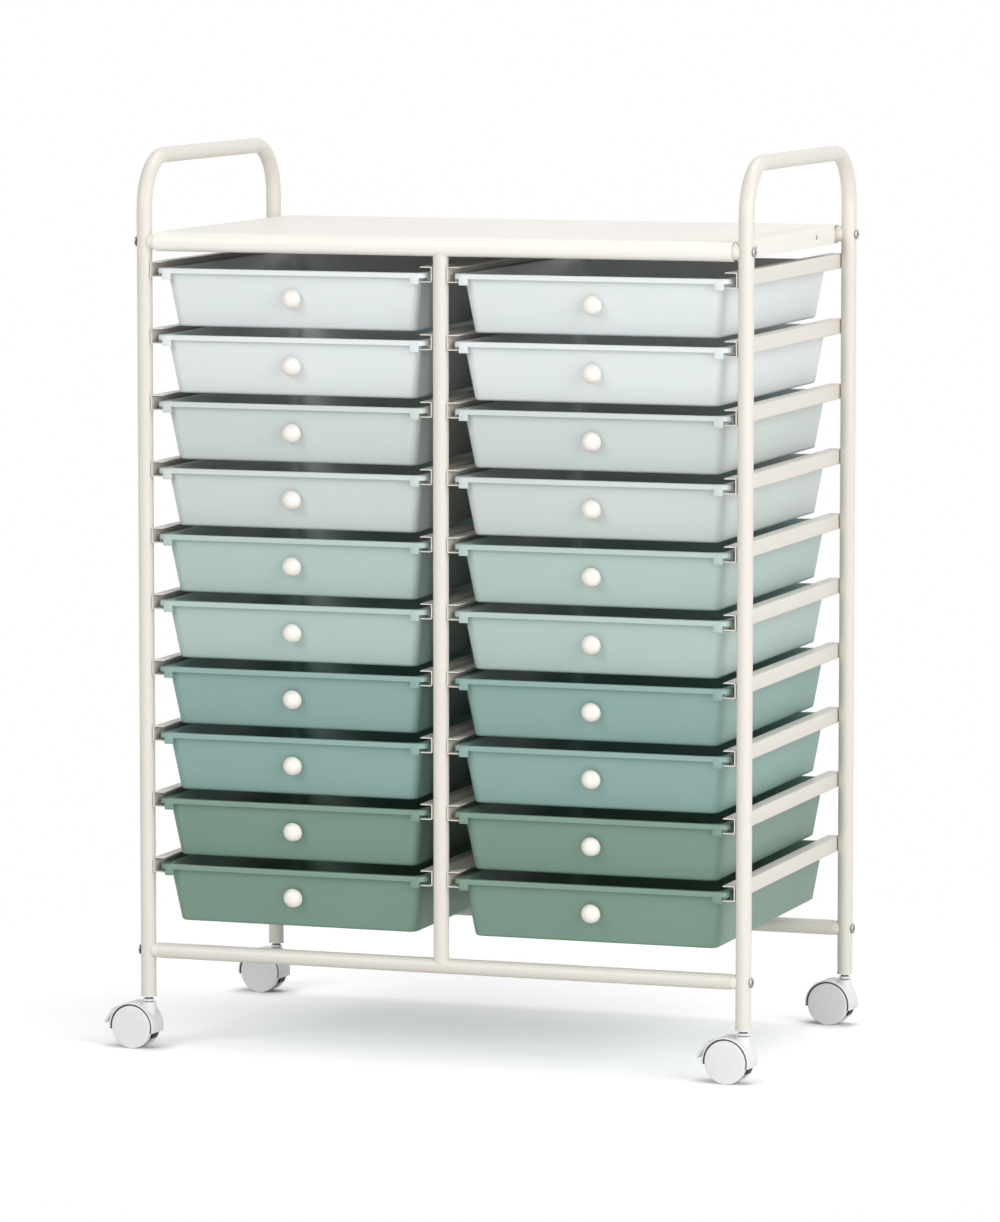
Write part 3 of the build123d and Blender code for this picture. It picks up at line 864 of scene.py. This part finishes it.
@dataclass(frozen=True)
class DrawerStack:
    """All the drawers of both bays."""

    levels: Levels
    tub: Tub = Tub()
    knob: Knob = Knob()
    sides: tuple[tuple[str, int], ...] = (("left", -1), ("right", 1))
    colour_levels: int = 2  # levels of one colour

    def build(self) -> None:
        """Models a tub and a knob and copies them to every level."""
        tub, knob = self.tub.build(), self.knob.build()
        seat = self.knob.seat(self.tub)
        colours = [colour for colour in TubColour for _ in range(self.colour_levels)]
        materials = {colour: colour.finish().material() for colour in TubColour}
        ivory = KNOB_ABS.material()
        for name, side in self.sides:
            for level, colour in enumerate(colours):
                tag = f"{name}_{level + 1:02d}"
                place, body = self.levels.place(side, level), f"drawer_{tag}"
                drawer = placed_copy(tub, f"tub_{tag}", place)
                hand_over(drawer, materials[colour], body, colour.value[0], body)
                cap = placed_copy(knob, f"knob_cap_{tag}", place @ seat)
                hand_over(cap, ivory, body, "ivory_plastic", f"knob_{tag}")
        discard(tub, knob)


# Steel frame


@dataclass(frozen=True)
class Rails:
    """C section drawer rails, folded from sheet, ten levels in two columns a bay."""

    height: float = 15.0
    flange: float = 12.0
    sheet: float = 1.0
    bend_r: float = 1.6
    bend_steps: int = 4
    edge_r: float = 0.2
    levels: int = 10

    def build_rail(self, length: float) -> Piece:
        """Models one rail that opens towards +X, with its web's back on the origin's plane.

        Args:
            length: of the rail, front to back.

        Returns:
            The rail.
        """
        high = self.height / 2
        rail = block("rail", (0, -length / 2, -high), (self.flange, length / 2, high))
        set_mode("EDIT")
        select_faces(rail, lambda middle, normal: normal.x > FACING or abs(normal.y) > FACING)
        bpy.ops.mesh.delete(type="FACE")
        select_edges(rail, lambda a, b: same(a.x, 0) and same(b.x, 0) and abs(a.y - b.y) > LONG)
        bpy.ops.mesh.bevel(offset=self.bend_r * MM, segments=self.bend_steps, affect="EDGES")
        set_mode("OBJECT")
        thicken(rail, self.sheet)
        return soften(rail, self.edge_r)

    def build(self, name: str, material: Material) -> None:
        """Fits the rails of one bay to the CAD rails.

        Args:
            name: left or right.
            material: finish of the rails.
        """
        low, top = (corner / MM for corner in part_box(f"{name}_bay_rails"))
        rail = self.build_rail(top.y - low.y)
        pitch = (top.z - low.z - self.height) / (self.levels - 1)
        rails = []
        for level in range(self.levels):
            z = top.z - self.height / 2 - level * pitch
            for x, angle in ((low.x, 0), (top.x, math.pi)):
                rails.append(placed_copy(rail, f"rails_{name}", at(x, 0, z) @ about("Z", angle)))
        joined = join(rails)
        joined.name = joined.data.name = f"rails_{name}"
        hand_over(joined, material, "frame", "frame_steel", f"{name}_bay_rails")
        discard(rail)


@dataclass(frozen=True)
class TopPanel:
    """Folded sheet top: rolled front and rear edges and a holed flange down each side."""

    sheet: float = 1.0
    bead_r: float = 9.3
    roll_turn: float = 296.6  # degrees that the sheet runs round the bar
    roll_steps: int = 36
    flange_end_gap: float = 1.5
    bend_r: float = 2.2
    bend_steps: int = 5
    hole_r: float = 2.75
    hole_span: float = 204.0
    hole_sides: int = 24
    drill_reach: float = 4.0  # on either side of a flange's outer face
    edge_r: float = 0.25

    @staticmethod
    def is_fold(a: Vector, b: Vector, z: float) -> bool:
        """Whether an edge at a height, in millimetres, runs along a side flange's fold."""
        return same(a.x, b.x) and same(a.y, -b.y) and same(a.z + b.z, 2 * z) and abs(a.y - b.y) > LONG

    def build(self, material: Material) -> None:
        """Folds the panel from its sheet and gives it its finish.

        Args:
            material: finish of the panel.
        """
        low, top = (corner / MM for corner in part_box("top_panel"))
        half_x, roll_y = top.x, top.y - self.bead_r
        roll_z, flange_y = top.z - self.bead_r, roll_y - self.bead_r - self.flange_end_gap
        panel = level_plane("top_sheet", half_x, roll_y, top.z)
        for y in (-flange_y, flange_y):
            bpy.ops.mesh.select_all(action="SELECT")
            bpy.ops.mesh.bisect(plane_co=metres((0, y, top.z)), plane_no=(0, 1, 0))
        for end in (-1, 1):
            edge_y = end * roll_y
            select_edges(panel, lambda a, b: same(a.y, edge_y) and same(b.y, edge_y))
            middle, turn = metres((0, edge_y, roll_z)), math.radians(self.roll_turn)
            bpy.ops.mesh.spin(steps=self.roll_steps, angle=turn, center=middle, axis=(end, 0, 0))
        for side in (-1, 1):
            edge_x = side * half_x
            select_edges(panel, lambda a, b: same(a.x, edge_x) and self.is_fold(a, b, top.z))
            drop = metres((0, 0, low.z - top.z))
            bpy.ops.mesh.extrude_region_move(TRANSFORM_OT_translate={"value": drop})
        select_edges(panel, lambda a, b: same(abs(a.x), half_x) and self.is_fold(a, b, top.z))
        bpy.ops.mesh.bevel(offset=self.bend_r * MM, segments=self.bend_steps, affect="EDGES")
        set_mode("OBJECT")
        thicken(panel, self.sheet)
        for x in (-half_x, half_x):
            for y in (-self.hole_span / 2, self.hole_span / 2):
                ends = [(x + reach, y, roll_z) for reach in (-self.drill_reach, self.drill_reach)]
                cut(panel, rod("drill", self.hole_r, *ends, self.hole_sides))
        hand_over(soften(panel, self.edge_r), material, "frame", "frame_steel", "top_panel")


@dataclass(frozen=True)
class BarEnds:
    """Saddle and screw at each end of the four cross bars.

    They are modelled with the leg's axis at the origin and the bar running towards +X.
    """

    leg_r: float = 7.5
    reach: float = 11.9
    neck_rs: Pair = (7.0, 7.5)  # at the lower and the upper bars
    neck_sides: int = 64
    edge_r: float = 0.4
    edge_steps: int = 3
    neck_sharp: float = 40  # degrees from which an edge of the neck is softened
    shadow_gap: float = 0.25  # between the saddle and the leg
    ear_end: float = 5.0  # from the leg's axis, where the cope's ears are trimmed
    head_r: float = 5.0
    head_h: float = 1.6
    head_edge_r: float = 1.2
    head_edge_steps: int = 5
    head_crown: float = 0.05
    head_sides: int = 40
    socket_r: float = 1.9
    socket_depth: float = 1.1
    socket_sides: int = 6
    seat_gap: float = 0.05  # between the head and the leg

    def build_saddle(self, radius: float) -> Piece:
        """Coped neck with a softened end.

        Args:
            radius: of the neck.

        Returns:
            The saddle.
        """
        saddle = rod("saddle", radius, (0, 0, 0), (self.reach, 0, 0), self.neck_sides)
        wide, cope_r = 2 * self.leg_r, self.leg_r + self.shadow_gap
        cut(saddle, rod("cope", cope_r, (0, 0, -wide), (0, 0, wide), self.neck_sides))
        cut(saddle, block("ears", (-wide, -wide, -wide), (self.ear_end, wide, wide)))
        return soften(saddle, self.edge_r, self.edge_steps, self.neck_sharp)

    def build_screw(self) -> Piece:
        """Low domed head with a hexagon socket."""
        edge_r, top = self.head_edge_r, self.head_h + self.head_crown
        middle = (self.head_r - edge_r, self.head_h - edge_r)
        edge = arc_profile(middle, edge_r, 0, ROUND_END, self.head_edge_steps)
        profile = [(0, 0), (self.head_r, 0), *edge, (self.socket_r, top), (0, top)]
        screw = turned("screw", profile, self.head_sides)
        floor, above = self.head_h - self.socket_depth, 2 * self.head_h
        cut(screw, rod("key", self.socket_r, (0, 0, floor), (0, 0, above), self.socket_sides))
        return smooth(screw)

    def build(self, plastic: Material, zinc: Material) -> None:
        """Puts the saddles and screws at the bar ends.

        Args:
            plastic: finish of the saddles.
            zinc: finish of the screws.
        """
        hoop_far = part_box("right_side_hoop")[1] / MM
        leg_x, leg_y = hoop_far.x - self.leg_r, hoop_far.y - self.leg_r
        lower_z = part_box("cross_bars")[0].z / MM + self.leg_r
        upper_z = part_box("top_panel")[1].z / MM - TopPanel.bead_r
        out = at(-self.leg_r - self.seat_gap, 0, 0) @ about("Y", -math.pi / 2)
        screw = self.build_screw()
        saddles, screws = [], []
        for radius, z in zip(self.neck_rs, (lower_z, upper_z)):
            saddle = self.build_saddle(radius)
            for y in (-leg_y, leg_y):
                for x, angle in ((-leg_x, 0), (leg_x, math.pi)):
                    place = at(x, y, z) @ about("Z", angle)
                    saddles.append(placed_copy(saddle, "saddles", place))
                    screws.append(placed_copy(screw, "screw_heads", place @ out))
            discard(saddle)
        discard(screw)
        for pieces, node, material, slot in (
            (saddles, "bar_end_saddles", plastic, "ivory_plastic"),
            (screws, "frame_screws", zinc, "screw_steel"),
        ):
            hand_over(join(pieces), material, "frame", slot, node)


@dataclass(frozen=True)
class SteelFrame:
    """Tube frame, rails, top and fastenings. The tubes keep their CAD shapes."""

    def build(self) -> None:
        """Models the folded and turned pieces and gives each kept node its finish."""
        tube, sheet = POWDER_COAT.material(), POWDER_COAT_SHEET.material()
        for name in ("left_side_hoop", "right_side_hoop", "cross_bars", "centre_posts"):
            coat(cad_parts[name], tube)
            LOG.info("%s keeps its CAD shape", name)
        for name in ("left", "right"):
            Rails().build(name, tube)
        TopPanel().build(sheet)
        BarEnds().build(SADDLE_NYLON.material(), ZINC_STEEL.material())


# Casters


@dataclass(frozen=True)
class Caster:
    """Twin-wheel caster. The axle's middle is the origin and the swivel axis is ahead, at +X."""

    wheel_r: float = 21.0
    wheel_inner_y: float = 6.0
    wheel_outer_y: float = 13.0
    wheel_edge_r: float = 1.4
    wheel_edge_steps: int = 6
    tread_inner_r: float = 1.2  # rounding of the tread towards the web
    rim_w: float = 1.5  # of the wheel's rim seen from the web
    disc_inset: float = 0.8  # by which the wheel's disc lies behind that rim
    hub_r: float = 6.0
    hub_edge: float = 0.4
    hub_inner_y: float = 5.5
    face_crown: float = 0.6
    crown_rings: tuple[float, ...] = (0.86, 0.7, 0.5, 0.3, 0)  # shares of the face's radius
    trail: float = 14.0
    turn: float = -5.5  # degrees of the standing casters about the swivel axis
    hood_inner_r: float = 22.5
    hood_r: float = 23.9
    hood_half_w: float = 12.2
    hood_edge_r: float = 0.8
    hood_inner_edge: float = 0.3
    cut_edge_r: float = 0.4  # of the hood's cut edges, and of the pedal
    cut_edge_steps: int = 2  # the stem has as many
    sharp: float = 50  # degrees from which an edge of them is softened
    core_gap: float = 0.02  # between the hood and its near-black lining of painted shade
    shade_liner_gap: float = 0.35  # between a wheel's tread and the hood's near-black lining of painted shade
    shade_liner_step: float = 0.9  # by which the painted-shade lining stands back from the hood's edge
    lead_drop: float = 5.0
    shade_web_drop: float = 11.0  # the near-black web, painted shade, shows between the wheels below the hood's end
    trail_drop: float = 3.0
    trail_cut_x: float = -10.0
    web_half_w: float = 5.2
    boss_r: float = 7.2
    boss_low: float = 2.0
    boss_top: float = 24.6
    boss_edge_r: float = 0.9
    boss_edge_steps: int = 5
    boss_sides: int = 48  # the collar has as many
    stem_r: float = 4.0
    stem_low: float = 8.0
    stem_top: float = 59.0
    stem_edge_r: float = 0.8
    stem_sides: int = 40
    collar_r: float = 5.5
    collar_lift: float = 0.9  # bare stem between the boss and the collar
    collar_h: float = 2.1
    collar_edges: Pair = (0.3, 0.4)  # its chamfers below and above
    bore_gap: float = 0.05  # between the stem and the collar
    pedal_gap: float = 0.6
    pedal_half_w: float = 8.0
    pedal_start: float = 150.0  # degrees round the axle from the leading side to the pin
    pad_from: float = 136.0  # the pad follows the hood between these two
    pad_to: float = 154.5
    pad_steps: int = 8
    pedal_edge_steps: int = 3
    tab: tuple[Pair, ...] = ((2.7, 161.0), (5.5, 177.0), (7.5, 174.0), (3.9, 146.5), (2.6, 136.0))
    pin_reach: float = 16.0
    arm_half_w: float = 2.0
    arm_h: float = 3.0
    arm_hold: float = 1.0  # by which the arm reaches into the pad
    eye_sides: int = 24
    slot_gap: float = 0.4
    slot_x: Pair = (-26.768, -9.082)  # the slot for the arm lies between these
    slot_z: Pair = (3.824, 16.73)
    sides: int = 96
    edge_steps: int = 4

    def place(self, x: float, y: float) -> Matrix:
        """Place of the axle of the caster under the leg whose axis is at x and y."""
        return at(x, y, self.wheel_r) @ about("Z", math.radians(self.turn)) @ at(-self.trail, 0, 0)

    def build_wheels(self) -> Piece:
        """Both wheels: rounded treads, slightly crowned faces and hubs towards the web."""
        inner, outer, edge = self.wheel_inner_y, self.wheel_outer_y, self.wheel_edge_r
        hub_r, hub_y, hub_edge = self.hub_r, self.hub_inner_y, self.hub_edge
        face_r, disc_y, tread = self.wheel_r - edge, inner + self.disc_inset, self.tread_inner_r
        shoulder = outer - self.face_crown
        profile = [(0, hub_y), (hub_r - hub_edge, hub_y), (hub_r, hub_y + hub_edge)]
        profile += [(hub_r, disc_y), (face_r - self.rim_w, disc_y), (face_r, inner)]
        profile += arc_profile((self.wheel_r - tread, inner + tread), tread, -90, 0, self.edge_steps)
        profile += arc_profile((face_r, shoulder - edge), edge, 0, ROUND_END, self.wheel_edge_steps)
        for share in self.crown_rings:
            profile.append((face_r * share, outer - self.face_crown * share**2))
        wheel = smooth(turned("wheel", profile, self.sides))
        sides = [placed_copy(wheel, "wheels", about("X", s * math.pi / 2)) for s in (-1, 1)]
        discard(wheel)
        return join(sides)

    def trim(self, piece: Piece, drop: float, braked: bool) -> None:
        """Opens a hood or web below, where the wheels meet the floor, and for the brake's arm.

        Args:
            piece: closed piece about the axle.
            drop: how far below the axle it ends.
            braked: whether a brake pedal's arm swings in it.
        """
        if braked:
            half = self.arm_half_w + self.slot_gap
            (x_low, x_high), (z_low, z_high) = self.slot_x, self.slot_z
            cut(piece, block("slot", (x_low, -half, z_low), (x_high, half, z_high)))
        wide = 2 * self.hood_r
        cut(piece, block("below", (-wide, -wide, -wide), (wide, wide, -drop)))
        cut(piece, block("behind", (-wide, -wide, -wide), (self.trail_cut_x, wide, -self.trail_drop)))

    def build_hood(self, braked: bool) -> Piece:
        """Hood over both wheels, the stem's boss and the collar above it.

        Args:
            braked: whether a brake pedal's arm swings in the hood.

        Returns:
            The housing.
        """
        half, edge, bare = self.hood_half_w, self.hood_edge_r, self.hood_inner_edge
        inner, middle, steps = self.hood_inner_r, self.hood_r - edge, self.edge_steps
        profile = [(inner, bare - half), (inner, half - bare), (inner + bare, half)]
        profile += arc_profile((middle, half - edge), edge, 90, 0, steps)
        profile += arc_profile((middle, edge - half), edge, 0, -90, steps)
        profile += [(inner + bare, -half), (inner, bare - half)]
        shell = turned("hood", profile, self.sides)
        shell.data.transform(about("X", math.pi / 2))
        self.trim(shell, self.lead_drop, braked)
        soften(shell, self.cut_edge_r, self.cut_edge_steps, self.sharp)
        return join([shell, self.build_boss(), self.build_collar()])

    def build_boss(self) -> Piece:
        """Round boss that holds the stem."""
        radius, top, edge = self.boss_r, self.boss_top, self.boss_edge_r
        shoulder = arc_profile((radius - edge, top - edge), edge, 0, 90, self.boss_edge_steps)
        profile = [(0, self.boss_low), (radius, self.boss_low), *shoulder, (0, top)]
        boss = turned("boss", profile, self.boss_sides)
        boss.data.transform(at(self.trail, 0, 0))
        return smooth(boss)

    def build_shade_core(self, braked: bool) -> Piece:
        """Near-black lining inside the hood and web between the wheels: painted shade in the gaps round
        and between the wheels.

        Args:
            braked: whether a brake pedal's arm swings through this painted shade.

        Returns:
            The painted-shade lining and web.
        """
        outer, inner = self.hood_inner_r - self.core_gap, self.wheel_r + self.shade_liner_gap
        half = self.hood_half_w - self.shade_liner_step
        profile = [(inner, -half), (inner, half), (outer, half), (outer, -half), (inner, -half)]
        shade_liner = turned("core", profile, self.sides)
        shade_liner.data.transform(about("X", math.pi / 2))
        web = rod("web", outer, (0, -self.web_half_w, 0), (0, self.web_half_w, 0), self.sides)
        for part, drop in ((shade_liner, self.lead_drop), (web, self.shade_web_drop)):
            self.trim(part, drop, braked)
            smooth(part)
        return join([shade_liner, web])

    def build_stem(self) -> Piece:
        """Bare steel stem, its darker grey partly painted shade."""
        low, top = (self.trail, 0, self.stem_low), (self.trail, 0, self.stem_top)
        stem = rod("stem", self.stem_r, low, top, self.stem_sides)
        return soften(stem, self.stem_edge_r, self.cut_edge_steps)

    def build_collar(self) -> Piece:
        """Washer-like collar round the stem, a little above the boss."""
        low, out = self.boss_top + self.collar_lift, self.collar_r
        high, bore = low + self.collar_h, self.stem_r + self.bore_gap
        under, over = self.collar_edges
        profile = [(bore, low), (out - under, low), (out, low + under), (out, high - over)]
        profile += [(out - over, high), (bore, high), (bore, low)]
        collar = turned("collar", profile, self.boss_sides)
        collar.data.transform(at(self.trail, 0, 0))
        return smooth(collar)

    def pedal_outline(self) -> list[Pair]:
        """Points of the pedal beside the axle: along the hood, out to the tab and over the heel."""
        inner = self.hood_r + self.pedal_gap
        along = arc_profile((0, 0), inner, self.pad_from, self.pad_to, self.pad_steps)
        for step, degrees in self.tab:
            angle, reach = math.radians(degrees), self.hood_r + step
            along.append((reach * math.cos(angle), reach * math.sin(angle)))
        return along

    def build_pedal(self) -> Piece:
        """Pad outside the hood with the tab for a shoe, its arm and the eye round the pin."""
        half = self.arm_half_w
        pad = plate("pedal", self.pedal_outline(), self.pedal_half_w)
        length = self.hood_r + self.pedal_gap + self.arm_hold - self.pin_reach
        arm = block("arm", (0, -half, 0), (length, half, self.arm_h))
        eye = rod("eye", self.arm_h, (0, -half, 0), (0, half, 0), self.eye_sides)
        at_pin = about("Y", -math.radians(self.pedal_start)) @ at(self.pin_reach, 0, 0)
        for part in (arm, eye):
            part.data.transform(at_pin)
        for part in (pad, arm, eye):
            soften(part, self.cut_edge_r, self.pedal_edge_steps, self.sharp)
        return join([pad, arm, eye])

    def build(self) -> None:
        """Puts a caster under each leg, with a brake at the front ones."""
        nylon, shade_nylon = HOOD_NYLON.material(), SHADE_CORE_NYLON.material()
        grey, steel = WHEEL_POLYPROPYLENE.material(), SHADED_STEM_STEEL.material()
        coat(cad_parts["caster_sockets"], nylon)
        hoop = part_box("right_side_hoop")
        leg_x, leg_y = ((hoop[0].x + hoop[1].x) / 2 / MM, hoop[1].y / MM - BarEnds.leg_r)
        wheels, stem, pedal = self.build_wheels(), self.build_stem(), self.build_pedal()
        for end, y in (("front", -leg_y), ("rear", leg_y)):
            hood, core = self.build_hood(end == "front"), self.build_shade_core(end == "front")
            for name, x in (("left", -leg_x), ("right", leg_x)):
                place, tag = self.place(x, y), f"{end}_{name}"
                caster, rolling, brake = f"caster_{tag}", f"wheels_{tag}", f"brake_{tag}"
                pieces = [
                    ("hood", hood, nylon, caster, "white_plastic", caster),
                    # near-black lining and web: painted shade round and between the wheels
                    ("core", core, shade_nylon, caster, "wheel_grey"),
                    # the stem's darker grey is partly painted shade from the leg above
                    ("stem", stem, steel, caster, "screw_steel"),
                    ("wheel_pair", wheels, grey, rolling, "wheel_grey", rolling),
                ]
                if end == "front":
                    pieces.append(("pedal", pedal, nylon, brake, "white_plastic", brake))
                for kind, master, *facts in pieces:
                    hand_over(placed_copy(master, f"{kind}_{tag}", place), *facts)
            discard(hood, core)
        discard(wheels, stem, pedal)


# Studio


@dataclass(frozen=True)
class Softbox:
    """A square lamp that faces the cart."""

    place: Triple
    size: float
    power: float

    def build(self, name: str, target: Vector) -> None:
        """Hangs the lamp.

        Args:
            name: name of the lamp.
            target: point it faces.
        """
        data = bpy.data.lights.new(name, "AREA")
        data.size, data.energy = self.size, self.power
        lamp = bpy.data.objects.new(name, data)
        lamp.location = self.place
        lamp.rotation_euler = (target - lamp.location).to_track_quat("-Z", "Y").to_euler()
        bpy.context.scene.collection.objects.link(lamp)


@dataclass(frozen=True)
class Studio:
    """Camera, lamps, pale floor and white surroundings. Places are in metres."""

    eye: Triple = (2.0713, -6.0276, 1.1163)
    heading: Pair = (-0.32504, 0.9457)
    pitch: float = 6.224
    lens: float = 192.96
    sensor: float = 36.0
    farthest: float = 100.0  # that the camera sees
    aim: Triple = (0, 0, 0.42)  # that the lamps face
    floor_half: float = 6.0
    floor_paint: tuple[str, str] = ("#F9F9F9", "#FCFCFC")
    speckle: float = 30.0  # size of the paint's clouds in mm
    floor_clear: float = 0.40  # radius round the cart where the eye sees all of the floor
    floor_gone: float = 0.95  # radius from which it sees only the white surroundings
    bounce_clear: float = 1.2  # radius round the cart where the floor throws all its light back
    bounce_gone: float = 4.0  # radius from which it throws none
    sky_light: float = 0.32
    floor_glow: float = 0.36  # white that is added to what the eye sees of the floor
    contact_reach: float = 0.025  # from the floor up, within which a near piece takes that white away: painted contact shadow
    contact_power: float = 2.5
    contact_samples: int = 12
    boxes: tuple[Softbox, ...] = (
        Softbox((-1.6, -3.4, 2.6), 2.0, 56),
        Softbox((3.3, -1.5, 1.7), 3.0, 86),
        Softbox((1.7, -4.6, 1.3), 1.6, 36),
        Softbox((0.4, 0.8, 3.6), 2.0, 36),
    )

    def build(self) -> None:
        """Sets up the studio."""
        self.add_camera()
        self.add_floor()
        self.add_surroundings()
        for number, box in enumerate(self.boxes, 1):
            box.build(f"softbox_{number}", Vector(self.aim))
        bpy.context.scene.view_settings.view_transform = "Standard"
        LOG.info("studio stands")

    def add_camera(self) -> None:
        """Puts the camera at the photograph's angle."""
        data = bpy.data.cameras.new("camera")
        data.lens, data.sensor_width, data.clip_end = self.lens, self.sensor, self.farthest
        camera = bpy.data.objects.new("camera", data)
        camera.location = self.eye
        level, fall = math.cos(math.radians(self.pitch)), math.sin(math.radians(self.pitch))
        look = Vector((self.heading[0] * level, self.heading[1] * level, -fall))
        camera.rotation_euler = look.to_track_quat("-Z", "Y").to_euler()
        bpy.context.scene.collection.objects.link(camera)
        bpy.context.scene.camera = camera

    def add_floor(self) -> None:
        """Lays the pale floor, which fades into the white surroundings away from the cart and has
        painted contact shadows under near pieces.
        """
        deselect_all()
        bpy.ops.mesh.primitive_plane_add(size=2 * self.floor_half)
        floor = take_primitive("floor")
        made = bpy.data.materials.new("pale_studio_floor_with_painted_contact_shade")
        tree = empty_tree(made)
        place = add_node(tree, "TexCoord").outputs["Object"]
        distance = add_node(tree, "VectorMath", {0: place}, operation="LENGTH").outputs["Value"]
        seen, bounced = (
            spread(tree, distance, radii, (0, 1), "SMOOTHERSTEP")
            for radii in ((self.floor_clear, self.floor_gone), (self.bounce_clear, self.bounce_gone))
        )
        paint = tinted(tree, noise(tree, place, self.speckle), self.floor_paint)
        matt = add_node(tree, "BsdfDiffuse", {"Color": paint}).outputs[0]
        eye = add_node(tree, "LightPath").outputs["Is Camera Ray"]
        # ambient occlusion takes the added white away under and beside near pieces: painted contact
        # shadow
        reach = {"Distance": self.contact_reach}
        contact_shade_mask = add_node(tree, "AmbientOcclusion", reach, samples=self.contact_samples).outputs["AO"]
        contact_shade_mask = reckoned(tree, "POWER", contact_shade_mask, self.contact_power)
        lift = reckoned(tree, "MULTIPLY", reckoned(tree, "MULTIPLY", eye, self.floor_glow), contact_shade_mask)
        glow = add_node(tree, "Emission", {"Color": linear(WHITE), "Strength": lift}).outputs[0]
        lifted = add_node(tree, "AddShader", {0: matt, 1: glow}).outputs[0]
        clear = add_node(tree, "BsdfTransparent").outputs[0]
        fade = add_node(tree, "Mix", {0: eye, 2: bounced, 3: seen}).outputs[0]
        blend = add_node(tree, "MixShader", {0: fade, 1: lifted, 2: clear}).outputs[0]
        add_node(tree, "OutputMaterial", {"Surface": blend})
        coat(floor, made)

    def add_surroundings(self) -> None:
        """Makes the surroundings white to the eye and in gloss, and a plain soft light otherwise."""
        world = bpy.data.worlds.new("white_surroundings")
        tree = empty_tree(world)
        path = add_node(tree, "LightPath").outputs
        seen = reckoned(tree, "MAXIMUM", path["Is Camera Ray"], path["Is Glossy Ray"])
        seen = reckoned(tree, "MAXIMUM", seen, path["Is Transmission Ray"])
        light, white = (
            add_node(tree, "Background", {"Color": linear(WHITE), "Strength": strength}).outputs[0]
            for strength in (self.sky_light, 1.0)
        )
        blend = add_node(tree, "MixShader", {0: seen, 1: light, 2: white}).outputs[0]
        add_node(tree, "OutputWorld", {"Surface": blend})
        bpy.context.scene.world = world


# Hand-over


def main() -> None:
    """Builds the cart's pieces in order, then the studio."""
    logging.basicConfig(level=logging.INFO, format="%(message)s")
    deselect_all()
    SteelFrame().build()
    Caster().build()
    DrawerStack(Levels.from_frame()).build()
    Studio().build()


if __name__ == "__main__":
    main()
